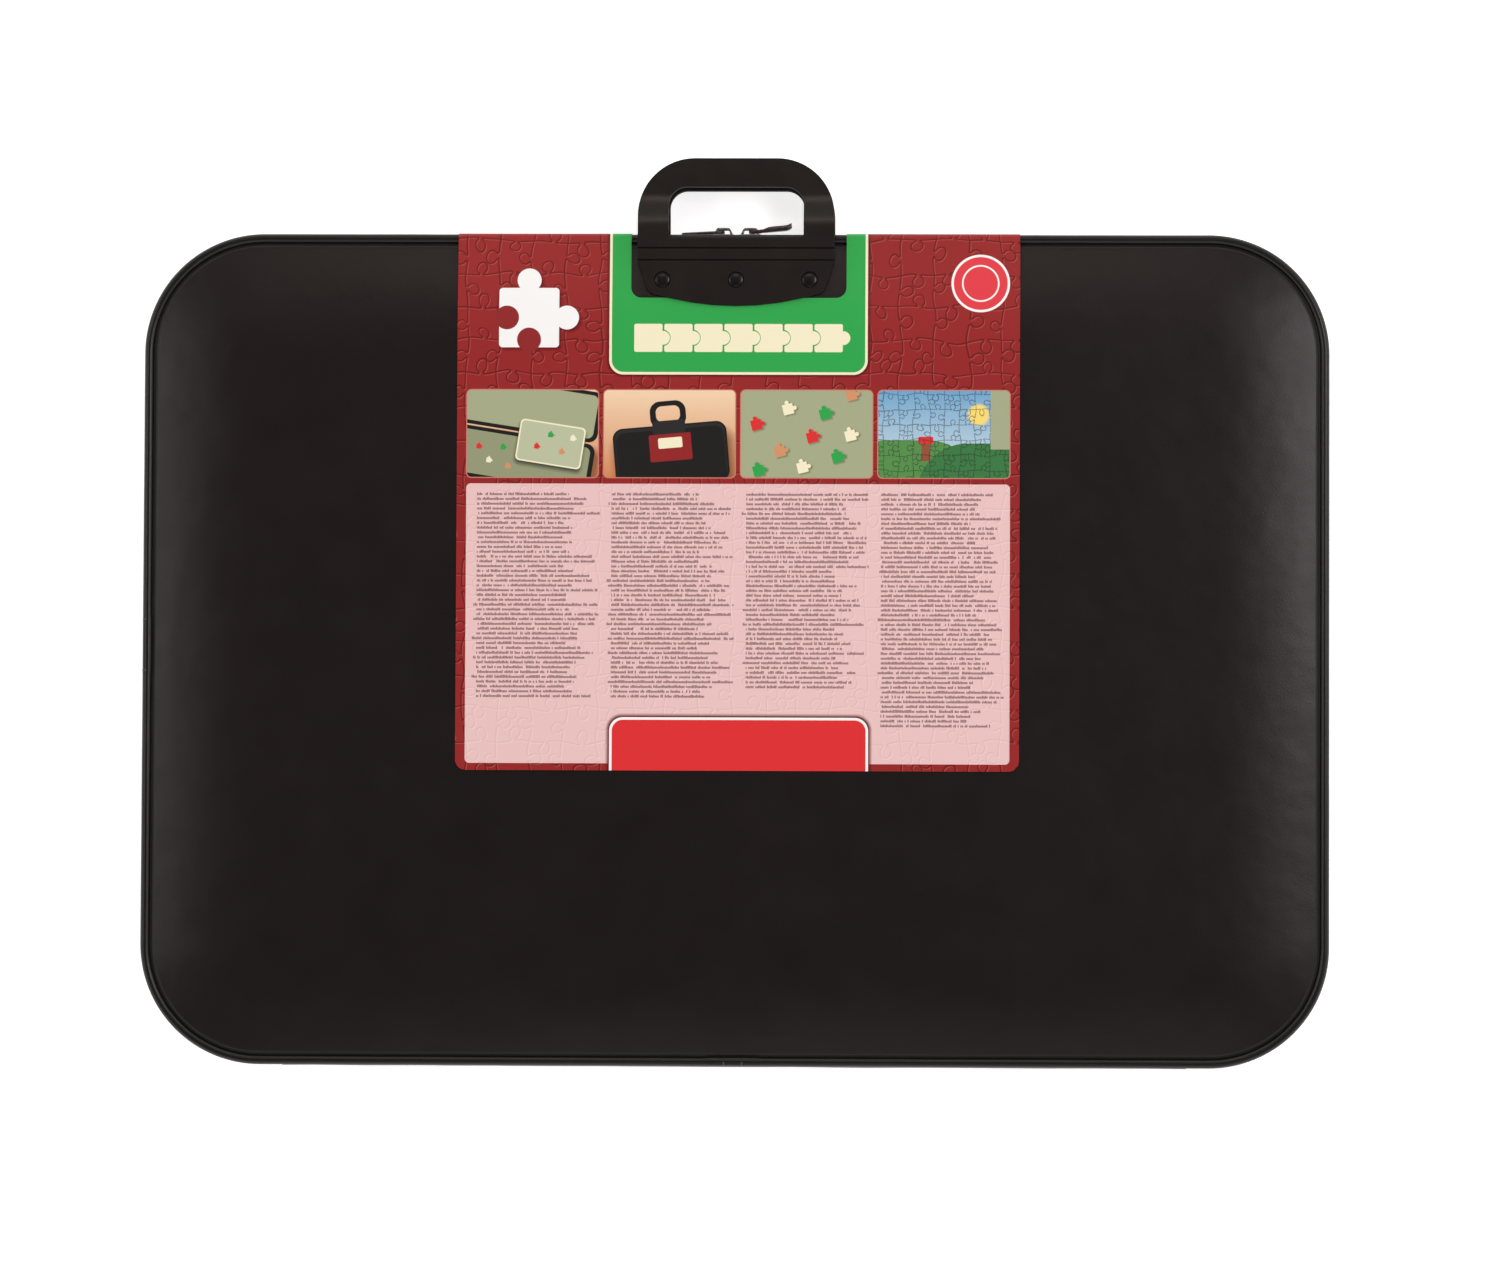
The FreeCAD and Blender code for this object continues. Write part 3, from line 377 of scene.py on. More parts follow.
# Side walls
# A stiff strip wrapped in leatherette stands round each board. Its foot is glued on the board
# beside the felt, and its free edge is rounded. The zip tape is sewn on its outer face.
WALL_FOOT, WALL_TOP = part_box("lid_side_wall")[1].z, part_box("lid_side_wall")[0].z
WALL_INSET, WALL_THICKNESS = 3.1 * MM, 2.6 * MM
FOOT_INSET, FOOT_HEIGHT = 11.0 * MM, 1.2 * MM


def make_wall(name):
    bm = bmesh.new()
    inner = WALL_INSET + WALL_THICKNESS
    corners = [(WALL_INSET, WALL_FOOT), (WALL_INSET, WALL_TOP), (inner, WALL_TOP),
               (inner, WALL_FOOT - FOOT_HEIGHT), (FOOT_INSET, WALL_FOOT - FOOT_HEIGHT), (FOOT_INSET, WALL_FOOT)]
    edges = chain(bm, [at_inset(*corner) for corner in corners], closed=True)
    bmesh.ops.contextual_create(bm, geom=edges)
    rounded = [v for v in bm.verts if abs(v.co.z - WALL_TOP) < 0.01 * MM]
    bmesh.ops.bevel(bm, geom=rounded, offset=1.1 * MM, offset_type="OFFSET", affect="VERTICES", segments=4,
                    profile=0.5, material=-1)
    bmesh.ops.delete(bm, geom=list(bm.faces), context="FACES_ONLY")
    run_round(bm, list(bm.edges), spacing=16 * MM)
    return finished(bm, name, LEATHERETTE)


for_both_halves("leatherette_wall", make_wall, "leatherette", "side_wall")

# Piping
# A round bead of smooth black vinyl over a cord, sewn in between the cover and the wall all
# round each half. It is a little uneven, and wrinkles finely where it is bent round a corner.
BEAD_RADIUS = 3.1 * MM
BEAD_Z = LID_FACE - 9.2 * MM
BEAD_SIDES = 16


def bead_move(point, centre_inset):
    """How much the bead swells or wrinkles at a point."""
    bent = abs(point.x) > STRAIGHT_X and abs(point.y) > STRAIGHT_Y
    along = point.x + point.y * 1.3
    swell = 0.06 * MM * noise.noise(point / (30 * MM))
    wrinkle = 0.07 * MM * noise.noise(Vector((along / (2.6 * MM), point.y / (2.6 * MM), point.z / (9 * MM))))
    inner = max(0.0, (inset_of(point) - centre_inset) / BEAD_RADIUS)
    return swell + (wrinkle * (0.4 + inner) if bent else 0.25 * wrinkle)


def make_piping(name):
    bm = bmesh.new()
    centre = at_inset(BEAD_RADIUS, BEAD_Z)
    spot = bm.verts.new(centre + Vector((0, BEAD_RADIUS, 0)))
    bmesh.ops.spin(bm, geom=[spot], cent=centre, axis=(1, 0, 0), angle=2 * math.pi, steps=BEAD_SIDES,
                   use_merge=True)
    bmesh.ops.remove_doubles(bm, verts=bm.verts, dist=0.001 * MM)
    run_round(bm, list(bm.edges), spacing=8 * MM, turns=40)
    bmesh.ops.recalc_face_normals(bm, faces=bm.faces)
    bm.normal_update()
    for vert in bm.verts:
        vert.co += vert.normal * (min(0.0, bead_move(vert.co, BEAD_RADIUS) - 0.05 * MM))
    return finished(bm, name, VINYL, 80)


VINYL = grained("piping_vinyl", shade(22, 18, 18), shade(27, 23, 23), 0.5 * MM, 0.012 * MM, 0.3)
for_both_halves("vinyl_piping", make_piping, "piping", "piping")

# Piping wraps
# A short sleeve of the same vinyl covers each joint of the bead: one at the middle of the hinge
# edge on each half and one on the lid's left. A bent wire staple holds each of its ends.
WRAP_THICKNESS = 0.22 * MM
WRAP_FROM, WRAP_TO = math.radians(-50), math.radians(140)
WRAP_LONG, WRAP_SIDE = 34 * MM, 38 * MM
WRAP_SIDE_PLACE = 2 * MM
STAPLE_RADIUS, STAPLE_CENTRE = 0.3 * MM, BEAD_RADIUS + 0.1 * MM
STAPLE_PLACES = [(-6 * MM, False), (6 * MM, False), (-17 * MM, True), (17 * MM, True)]


def wrap_frame(at_side):
    """Puts a wrap that was made about the origin, along X and open towards +Y, over the bead."""
    if at_side:
        return Matrix.Translation((-END + BEAD_RADIUS, WRAP_SIDE_PLACE, BEAD_Z)) @ Matrix.Rotation(-QUARTER, 4, "Z")
    return Matrix.Translation((0, -EDGE + BEAD_RADIUS, BEAD_Z))


def make_wrap(bm, length, at_side):
    """The sleeve itself: an arc round the bead, carried along it, drawn in a little at both ends."""
    spot = bm.verts.new((-length / 2, -(BEAD_RADIUS + 0.03 * MM), 0))
    bmesh.ops.rotate(bm, verts=[spot], cent=(0, 0, 0), matrix=Matrix.Rotation(WRAP_FROM, 3, "X"))
    bmesh.ops.spin(bm, geom=[spot], cent=(0, 0, 0), axis=(1, 0, 0), angle=WRAP_FROM - WRAP_TO, steps=18)
    front = [e for e in bm.edges if e.is_wire]
    made = list(bm.verts)
    steps = 16
    for _ in range(steps):
        front, rim = carried(bm, front)
        bmesh.ops.translate(bm, vec=(length / steps, 0, 0), verts=rim)
        made += rim
    for vert in made:
        swell = 0.04 * MM * math.cos(math.pi * vert.co.x / length)
        crease = 0.03 * MM * noise.noise(vert.co / (2.5 * MM))
        out = Vector((0, vert.co.y, vert.co.z)).normalized()
        vert.co += out * (swell + crease)
    bmesh.ops.transform(bm, matrix=wrap_frame(at_side), verts=made)


def make_lid_wraps(name):
    bm = bmesh.new()
    make_wrap(bm, WRAP_LONG, False)
    other = bmesh.new()
    make_wrap(other, WRAP_SIDE, True)
    spare = bpy.data.meshes.new("spare")
    other.to_mesh(spare)
    other.free()
    bm.from_mesh(spare)
    bpy.data.meshes.remove(spare)
    return thick_wrap(bm, name)


def make_tray_wrap(name):
    bm = bmesh.new()
    make_wrap(bm, WRAP_LONG, False)
    return thick_wrap(bm, name)


def thick_wrap(bm, name):
    """Gives the sleeves their thickness."""
    piece = finished(bm, name, VINYL, 60)
    wall = piece.modifiers.new("thickness", "SOLIDIFY")
    wall.thickness = WRAP_THICKNESS
    wall.offset = 1
    return piece


def make_staples(name, places):
    """Wire staples over the bead: an arc of wire at each place."""
    bm = bmesh.new()
    for x, at_side in places:
        wire_circle = bmesh.ops.create_circle(bm, segments=6, radius=STAPLE_RADIUS)["verts"]
        turn = Matrix.Translation((x, -STAPLE_CENTRE, 0))
        bmesh.ops.transform(bm, matrix=turn, verts=wire_circle)
        edges = list({e for v in wire_circle for e in v.link_edges})
        before = set(bm.verts)
        bmesh.ops.rotate(bm, verts=wire_circle, cent=(0, 0, 0), matrix=Matrix.Rotation(math.radians(10), 3, "X"))
        bmesh.ops.spin(bm, geom=edges + wire_circle, cent=(0, 0, 0), axis=(1, 0, 0), angle=math.radians(-100),
                       steps=10)
        made = [v for v in bm.verts if v not in before] + wire_circle
        bmesh.ops.transform(bm, matrix=wrap_frame(at_side), verts=made)
    return finished(bm, name, STAPLE_WIRE)


STAPLE_WIRE, tree, shader = new_material("dull_staple_wire")
place = add(tree, "ShaderNodeTexCoord").outputs["Object"]
tree.links.new(blotch(tree, place, shade(84, 82, 80), shade(104, 102, 100), 1 * MM), shader.inputs["Base Color"])
shader.inputs["Metallic"].default_value = 0.9
shader.inputs["Roughness"].default_value = 0.5
lid_wraps = make_lid_wraps("lid_piping_wraps")
stands_for(lid_wraps, "lid", "piping", "lid_piping_sleeve")
tray_wrap = make_tray_wrap("tray_piping_wrap")
tray_wrap.data.transform(TURN_OVER)
stands_for(tray_wrap, "tray", "piping", "tray_piping_sleeve")
lid_staples = make_staples("lid_wrap_staples", STAPLE_PLACES)
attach(lid_staples, "lid")
tray_staples = make_staples("tray_wrap_staples", STAPLE_PLACES[:2])
tray_staples.data.transform(TURN_OVER)
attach(tray_staples, "tray")

# Zip tapes
# Woven black polyester tape, sewn on the wall's outer face with a row of black lock stitches.
# It runs round the two ends and the handle edge and stops at each end of the spine.
TAPE_OUTER, TAPE_THICKNESS = 2.5 * MM, 0.6 * MM
TAPE_LOW, TAPE_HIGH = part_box("lid_zip_tape")[0].z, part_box("lid_zip_tape")[1].z
ZIP_START, TAPE_START = 306 * MM, 301 * MM
RIB = 0.9 * MM
STITCH_PITCH, STITCH_LENGTH, THREAD_RADIUS = 3.8 * MM, 3.0 * MM, 0.24 * MM


def outline_at(along, inset, start=ZIP_START):
    """A place on the outline moved inwards, that far along from the start, and the way out there."""
    radius = CORNER - inset
    legs = [STRAIGHT_X - start, 2 * STRAIGHT_Y, 2 * STRAIGHT_X, 2 * STRAIGHT_Y, STRAIGHT_X - start]
    base = Vector((start, inset - EDGE, 0))
    for leg, length in enumerate(legs):
        turn = Matrix.Rotation(leg * QUARTER, 3, "Z")
        out, heading = turn @ Vector((0, -1, 0)), turn @ Vector((1, 0, 0))
        if along <= length or leg == 4:
            return base + heading * along, out
        along -= length
        centre = base + heading * length - out * radius
        if along <= radius * QUARTER:
            out.rotate(Matrix.Rotation(along / radius, 3, "Z"))
            return centre + out * radius, out
        along -= radius * QUARTER
        base = centre + heading * radius
    return base, out


def run_length(inset, start=ZIP_START):
    """How long the three sides are at an inset."""
    return 2 * (STRAIGHT_X - start) + 4 * STRAIGHT_Y + 2 * STRAIGHT_X + 4 * QUARTER * (CORNER - inset)


def make_tape(name):
    bm = bmesh.new()
    corners = [(TAPE_OUTER, TAPE_LOW), (TAPE_OUTER, TAPE_HIGH), (TAPE_OUTER + TAPE_THICKNESS, TAPE_HIGH),
               (TAPE_OUTER + TAPE_THICKNESS, TAPE_LOW)]
    section = chain(bm, [at_inset(*corner) + Vector((TAPE_START, 0, 0)) for corner in corners], closed=True)
    bmesh.ops.contextual_create(bm, geom=section)
    run_round(bm, section, start=TAPE_START, spacing=12 * MM)
    far_end = [e for e in bm.edges if e.is_boundary]
    bmesh.ops.contextual_create(bm, geom=far_end)
    return finished(bm, name, TAPE)


TAPE, tree, shader = new_material("woven_tape")
place = add(tree, "ShaderNodeTexCoord").outputs["Object"]
tree.links.new(blotch(tree, place, shade(20, 19, 20), shade(34, 32, 33), 1.5 * MM), shader.inputs["Base Color"])
shader.inputs["Roughness"].default_value = 0.8
ribs = add(tree, "ShaderNodeTexWave", {"Vector": place, "Scale": 1 / (RIB * 3), "Distortion": 0.6,
                                       "Detail Scale": 1 / RIB}, bands_direction="Z")
weave = add(tree, "ShaderNodeTexVoronoi", {"Vector": place, "Scale": 1 / (0.55 * MM)}, distance="MANHATTAN")
relief(tree, shader, [(ribs.outputs["Fac"], 0.12 * MM), (weave.outputs["Distance"], 0.12 * MM)])
for_both_halves("woven_tape", make_tape, "tape", "zip_tape")


def wires(name, paths, radius, material):
    """Round wire or thread through each path of points, as one mesh. A path's ends are closed."""
    curve = bpy.data.curves.new(name, "CURVE")
    curve.dimensions = "3D"
    curve.bevel_depth = radius
    curve.bevel_resolution = 0
    curve.use_fill_caps = True
    for path in paths:
        line = curve.splines.new("POLY")
        line.points.add(len(path) - 1)
        for point, place in zip(line.points, path):
            point.co = (*place, 1)
    holder = bpy.data.objects.new(name, curve)
    mesh = bpy.data.meshes.new_from_object(holder)
    bpy.data.objects.remove(holder)
    bpy.data.curves.remove(curve)
    mesh.name = name
    mesh.shade_smooth()
    mesh.materials.clear()
    mesh.materials.append(material)
    piece = bpy.data.objects.new(name, mesh)
    bpy.context.scene.collection.objects.link(piece)
    return piece


def seam(name, inset, z):
    """A row of stitches along the three zipped sides: each a short thread that dips in at both ends."""
    stitches = []
    for number in range(int(run_length(inset) / STITCH_PITCH)):
        middle = (number + 0.5) * STITCH_PITCH
        path = []
        for share, rise in ((-0.5, -1.0), (-0.36, 0.35), (0.36, 0.35), (0.5, -1.0)):
            where, out = outline_at(middle + share * STITCH_LENGTH, inset)
            path.append(where + out * (rise * THREAD_RADIUS) + Vector((0, 0, z + share * THREAD_RADIUS)))
        stitches.append(path)
    return wires(name, stitches, THREAD_RADIUS, THREAD)


THREAD, tree, shader = new_material("black_thread")
place = add(tree, "ShaderNodeTexCoord").outputs["Object"]
tree.links.new(blotch(tree, place, shade(24, 22, 23), shade(46, 43, 44), 0.6 * MM), shader.inputs["Base Color"])
shader.inputs["Roughness"].default_value = 0.6
twist = add(tree, "ShaderNodeTexNoise", {"Vector": place, "Scale": 3500.0, "Detail": 2.0})
relief(tree, shader, [(twist.outputs["Fac"], 0.06 * MM)])
TAPE_SEAM_Z = TAPE_HIGH - 0.9 * MM
for half in ("lid", "tray"):
    stitches = seam(f"{half}_tape_stitches", TAPE_OUTER - 0.1 * MM, TAPE_SEAM_Z)
    if half == "tray":
        stitches.data.transform(TURN_OVER)
    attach(stitches, half)

# Zip coils
# One black nylon monofilament on each tape, wound into coarse flat turns whose heads reach to
# the middle plane, where the two coils' turns lie between each other's.
COIL_PITCH = 2.0 * MM
COIL_WIRE = 0.38 * MM
COIL_INSET, COIL_HALF = 1.5 * MM, 0.5 * MM
COIL_HEAD, COIL_BACK = MIDDLE + 0.08 * MM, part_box("lid_zip_coil")[1].z
TURN_POINTS = 9


def make_coil(name):
    """The filament: flat turns that lean as they are wound, and lie between the other coil's."""
    shift = 0.5 if name.startswith("tray") else 0.0
    across, middle = (COIL_BACK - COIL_HEAD) / 2 - COIL_WIRE, (COIL_BACK + COIL_HEAD) / 2
    path = []
    for number in range(TURN_POINTS * int((run_length(COIL_INSET) - 2 * MM) / COIL_PITCH)):
        turn = number / TURN_POINTS
        where, out = outline_at(0.4 * MM + (turn + shift) * COIL_PITCH, COIL_INSET)
        angle = 2 * math.pi * turn
        height = middle + across * math.cos(angle)
        path.append(where + out * (COIL_HALF * math.sin(angle)) + Vector((0, 0, height)))
    return wires(name, [path], COIL_WIRE, NYLON)


NYLON, tree, shader = new_material("black_nylon")
place = add(tree, "ShaderNodeTexCoord").outputs["Object"]
tree.links.new(blotch(tree, place, shade(20, 19, 20), shade(30, 28, 30), 4 * MM), shader.inputs["Base Color"])
shader.inputs["Roughness"].default_value = 0.32
scratches = add(tree, "ShaderNodeTexNoise", {"Vector": place, "Scale": 1800.0, "Detail": 2.0})
relief(tree, shader, [(scratches.outputs["Fac"], 0.02 * MM)])
for_both_halves("nylon_coil", make_coil, "coil", "zip_coil")

# Zip end stops
# A folded nickel clip is pressed over each end of both coils, so that the sliders stay on.
METAL_DARK, METAL_LIGHT = shade(116, 109, 106), shade(170, 162, 158)


def make_stops(name):
    bm = bmesh.new()
    low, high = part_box("lid_zip_stops")
    for sign in (-1, 1):
        size = Vector((3.2 * MM, high.y - low.y, high.z - low.z))
        centre = Vector((sign * (high.x - size.x / 2), (low.y + high.y) / 2, (low.z + high.z) / 2))
        bmesh.ops.create_cube(bm, size=1, matrix=Matrix.Translation(centre) @ Matrix.Diagonal((*size, 1)))
    bmesh.ops.bevel(bm, geom=list(bm.edges), offset=0.5 * MM, offset_type="OFFSET", affect="EDGES", segments=3,
                    profile=0.5, material=-1)
    return finished(bm, name, NICKEL, 30)


NICKEL, tree, shader = new_material("nickel_plate")
place = add(tree, "ShaderNodeTexCoord").outputs["Object"]
tree.links.new(blotch(tree, place, METAL_DARK, METAL_LIGHT, 2.5 * MM), shader.inputs["Base Color"])
shader.inputs["Metallic"].default_value = 1.0
wear = add(tree, "ShaderNodeTexNoise", {"Vector": place, "Scale": 700.0, "Detail": 5.0})
rub = add(tree, "ShaderNodeMapRange", {"Value": wear.outputs["Fac"], "To Min": 0.2, "To Max": 0.42})
tree.links.new(rub.outputs[0], shader.inputs["Roughness"])
relief(tree, shader, [(wear.outputs["Fac"], 0.03 * MM)])
for_both_halves("nickel_stops", make_stops, "zip_metal", "zip_stops")

# Spine
# One strip of leatherette, sewn on both walls along the hinge edge, bows out between the two
# halves.
SPINE_HALF = 300.5 * MM
SPINE_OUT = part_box("lid_spine_strip")[0].y
SPINE_ON_WALL = -(EDGE - WALL_INSET)
SPINE_THICKNESS = 0.8 * MM


def make_spine(name):
    bm = bmesh.new()
    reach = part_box("lid_spine_strip")[1].z - MIDDLE
    straight = WALL_TOP - MIDDLE
    points = []
    for step in range(-16, 17):
        height = reach * step / 16
        bow = max(0.0, 1 - (abs(height) / straight) ** 1.6)
        y = SPINE_ON_WALL - SPINE_THICKNESS + (SPINE_OUT - SPINE_ON_WALL + SPINE_THICKNESS) * bow
        points.append((-SPINE_HALF, y, MIDDLE + height))
    front = chain(bm, points)
    steps = 60
    for _ in range(steps):
        front, rim = carried(bm, front)
        bmesh.ops.translate(bm, vec=(2 * SPINE_HALF / steps, 0, 0), verts=rim)
    for vert in bm.verts:
        loose = max(0.0, 1 - abs(vert.co.z - MIDDLE) / straight)
        vert.co.y += 0.25 * MM * loose * (noise.noise(vert.co / (35 * MM)) + 1)
    bmesh.ops.recalc_face_normals(bm, faces=bm.faces)
    if bm.faces[0].normal.y > 0:
        bmesh.ops.reverse_faces(bm, faces=bm.faces)
    bmesh.ops.solidify(bm, geom=list(bm.faces), thickness=SPINE_THICKNESS)
    return finished(bm, name, LEATHERETTE)


spine = make_spine("leatherette_spine")
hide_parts("lid_spine_strip", "tray_spine_strip")
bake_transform(spine)

# Handles
# One black polypropylene moulding on each face: a riveted plate, two grooves either side of the
# thin line on which it flexes, and a D-shaped grip whose arms bend back a little.
PLATE_FACE, PLATE_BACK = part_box("lid_handle_plate")[1].z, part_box("lid_handle_plate")[0].z
GRIP_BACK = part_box("lid_grip")[0].z
GRIP_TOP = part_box("lid_grip")[1].y
HANDLE_HALF, SHOULDER = 65.5 * MM, 38 * MM
PLATE_CORNER, PLATE_SIDE, PLATE_LOW = Vector((58.7 * MM, EDGE - 39.2 * MM)), EDGE - 17.8 * MM, EDGE - 48.7 * MM
FINGER_HALF, FINGER_LOW, FINGER_HIGH = 45 * MM, EDGE - 3.5 * MM, EDGE + 31.5 * MM
FINGER_CORNER, FINGER_FOOT = 12 * MM, 3 * MM
GROOVES = (EDGE - 9.8 * MM, EDGE - 17.8 * MM)
GROOVE_WIDTH, GROOVE_DEPTH = 0.6 * MM, 0.95 * MM
FLEX_LINE = EDGE - 13.8 * MM
BEND_LOW, BEND_HIGH, BEND_BACK = EDGE + 5.5 * MM, EDGE + 27 * MM, 4.2 * MM
GRIP_STEP = EDGE + 1.4 * MM
RIVET_LINE, RIVET_PITCH = EDGE - 31 * MM, 49 * MM
SEAT_RADIUS, SEAT_DEPTH = 5.6 * MM, 1.3 * MM


def rounded_face(bm, corners):
    """A flat face through (x, y, radius) corners, rounded with that radius."""
    edges = chain(bm, [(x, y, 0) for x, y, _ in corners], closed=True)
    face = bmesh.ops.contextual_create(bm, geom=edges)["faces"][0]
    radii = {}
    for x, y, radius in corners:
        if radius:
            radii.setdefault(radius, []).append(Vector((x, y, 0)))
    for radius, places in radii.items():
        verts = [v for v in bm.verts if any((v.co - p).length < 0.01 * MM for p in places)]
        for vert in verts:
            a, b = (edge.other_vert(vert).co - vert.co for edge in vert.link_edges)
            reach = radius / math.tan(a.angle(b) / 2)
            bmesh.ops.bevel(bm, geom=[vert], offset=reach, offset_type="OFFSET", affect="VERTICES",
                            segments=max(4, round(12 * radius / (10 * MM))), profile=0.5, material=-1)
    return face


def outline_edges(corners):
    """The rounded outline's points in order."""
    bm = bmesh.new()
    rounded_face(bm, corners)
    bm.faces.ensure_lookup_table()
    points = [v.co.copy() for v in bm.faces[0].verts]
    bm.free()
    return points


def plate_bow(x):
    """The lower edge of the plate, bowed down in the middle."""
    share = 1 - (x / PLATE_CORNER.x) ** 2
    return PLATE_CORNER.y + (PLATE_LOW - PLATE_CORNER.y) * share


def handle_front(y):
    """How high the front face lies at a place along Y."""
    bend = min(1.0, max(0.0, (y - BEND_LOW) / (BEND_HIGH - BEND_LOW)))
    drop = BEND_BACK * bend * bend * (3 - 2 * bend)
    for groove in GROOVES:
        drop = max(drop, GROOVE_DEPTH * (1 - abs(y - groove) / GROOVE_WIDTH))
    return PLATE_FACE - drop


def handle_back(y):
    """How high the back face lies there: thin at the lip, the plate's thickness, then the grip's."""
    if y < EDGE - 42.2 * MM:
        return PLATE_FACE - 0.9 * MM
    if y < RIVET_LINE:
        share = (y - (EDGE - 42.2 * MM)) / (RIVET_LINE - EDGE + 42.2 * MM)
        return PLATE_FACE - 1.8 * MM - (PLATE_FACE - 1.8 * MM - PLATE_BACK) * share
    share = min(1.0, max(0.0, (y - GRIP_STEP) / (1.8 * MM)))
    bend = min(1.0, max(0.0, (y - BEND_LOW) / (BEND_HIGH - BEND_LOW)))
    return PLATE_BACK + (GRIP_BACK - PLATE_BACK) * share - 1.2 * MM * bend * bend * (3 - 2 * bend)


def make_handle(name):
    bm = bmesh.new()
    bow = [PLATE_CORNER.x * share for share in (-0.75, -0.5, -0.25, 0.0, 0.25, 0.5, 0.75)]
    outer = [(x, plate_bow(x), 0) for x in bow]
    outer += [(PLATE_CORNER.x, PLATE_CORNER.y, 7 * MM), (HANDLE_HALF, PLATE_SIDE, 0),
              (HANDLE_HALF, GRIP_TOP, SHOULDER), (-HANDLE_HALF, GRIP_TOP, SHOULDER),
              (-HANDLE_HALF, PLATE_SIDE, 0), (-PLATE_CORNER.x, PLATE_CORNER.y, 7 * MM)]
    inner = [(-FINGER_HALF, FINGER_LOW, FINGER_FOOT), (FINGER_HALF, FINGER_LOW, FINGER_FOOT),
             (FINGER_HALF, FINGER_HIGH, FINGER_CORNER), (-FINGER_HALF, FINGER_HIGH, FINGER_CORNER)]
    edges = chain(bm, outline_edges(outer), closed=True) + chain(bm, outline_edges(inner), closed=True)
    bmesh.ops.triangle_fill(bm, use_beauty=True, use_dissolve=False, edges=edges)
    levels = [groove + side * GROOVE_WIDTH for groove in GROOVES for side in (-1, 0, 1)]
    levels += [EDGE - 42.2 * MM, EDGE - 42.1 * MM, RIVET_LINE, GRIP_STEP, GRIP_STEP + 1.8 * MM, FLEX_LINE]
    levels += [FLEX_LINE - 1.2 * MM, FLEX_LINE + 1.2 * MM]
    levels += [BEND_LOW + (BEND_HIGH - BEND_LOW) * step / 12 for step in range(13)]
    for level in sorted(levels):
        geometry = list(bm.verts) + list(bm.edges) + list(bm.faces)
        bmesh.ops.bisect_plane(bm, geom=geometry, dist=0.001 * MM, plane_co=(0, level, 0), plane_no=(0, 1, 0))
    front = list(bm.faces)
    back = bmesh.ops.extrude_face_region(bm, geom=front)["geom"]
    behind = {g for g in back if isinstance(g, bmesh.types.BMVert)}
    for vert in bm.verts:
        vert.co.z = handle_back(vert.co.y) if vert in behind else handle_front(vert.co.y)
    bmesh.ops.delete(bm, geom=[f for f in bm.faces if f.calc_area() < 1e-14], context="FACES")
    piece = finished(bm, name, POLYPROPYLENE, 30)
    sink_seats(piece)
    round_edges(piece)
    return piece


def sink_seats(piece):
    """Cuts the three round seats for the rivets' heads."""
    bm = bmesh.new()
    for place in (-RIVET_PITCH, 0, RIVET_PITCH):
        centre = Vector((place, RIVET_LINE, PLATE_FACE - SEAT_DEPTH + 2 * MM))
        bmesh.ops.create_cone(bm, cap_ends=True, segments=40, radius1=SEAT_RADIUS, radius2=SEAT_RADIUS + 0.4 * MM,
                              depth=4 * MM, matrix=Matrix.Translation(centre))
    cutter = finished(bm, "seat_cutter", POLYPROPYLENE)
    hole = piece.modifiers.new("seats", "BOOLEAN")
    hole.operation = "DIFFERENCE"
    hole.solver = "EXACT"
    hole.object = cutter
    bpy.context.view_layer.update()
    cut = bpy.data.meshes.new_from_object(piece.evaluated_get(bpy.context.evaluated_depsgraph_get()))
    piece.modifiers.clear()
    old, piece.data = piece.data, cut
    cut.name = piece.name
    bpy.data.meshes.remove(old)
    bpy.data.objects.remove(cutter)


def round_edges(piece):
    """Rounds the moulding's rims: widely round the grip, less in its opening, finely on the plate."""
    bm = bmesh.new()
    bm.from_mesh(piece.data)
    weights = bm.edges.layers.float.new("bevel_weight_edge")
    for edge in bm.edges:
        if len(edge.link_faces) != 2:
            continue
        steep, level = sorted(abs(face.normal.z) for face in edge.link_faces)
        if steep > 0.35 or level < 0.65:
            continue
        middle = (edge.verts[0].co + edge.verts[1].co) / 2
        grip = min(1.0, max(0.0, (middle.y - (EDGE + 0.5 * MM)) / (5 * MM)))
        in_opening = abs(middle.x) < FINGER_HALF + 0.5 * MM and middle.y < FINGER_HIGH + 0.5 * MM
        edge[weights] = 0.22 + (0.2 if in_opening else 0.78) * grip
    bm.to_mesh(piece.data)
    bm.free()
    rim = piece.modifiers.new("rim", "BEVEL")
    rim.limit_method = "WEIGHT"
    rim.width = 2.6 * MM
    rim.segments = 4
    rim.profile = 0.5
    rim.use_clamp_overlap = True
    rim.harden_normals = False
    piece.data.shade_smooth()
    piece.data.set_sharp_from_angle(angle=math.radians(35))


POLYPROPYLENE, tree, shader = new_material("moulded_polypropylene")
place = add(tree, "ShaderNodeTexCoord").outputs["Object"]
tree.links.new(blotch(tree, place, shade(23, 18, 17), shade(28, 23, 21), 30 * MM), shader.inputs["Base Color"])
spark = add(tree, "ShaderNodeTexNoise", {"Vector": place, "Scale": 2200.0, "Detail": 3.0})
flow = add(tree, "ShaderNodeTexNoise", {"Vector": place, "Scale": 60.0, "Detail": 2.0})
rub = add(tree, "ShaderNodeMapRange", {"Value": flow.outputs["Fac"], "To Min": 0.27, "To Max": 0.35})
upright = add(tree, "ShaderNodeSeparateXYZ", {"Vector": add(tree, "ShaderNodeTexCoord").outputs["Normal"]}).outputs["Z"]
upright = add(tree, "ShaderNodeMath", {0: upright}, operation="ABSOLUTE").outputs[0]
dull_sides = add(tree, "ShaderNodeMapRange", {"Value": upright, "From Min": 0.15, "From Max": 0.6, "To Min": 0.8,
                                              "To Max": 0.0})
rub = add(tree, "ShaderNodeMath", {0: rub.outputs[0], 1: dull_sides.outputs[0]}, operation="MAXIMUM")
tree.links.new(rub.outputs[0], shader.inputs["Roughness"])
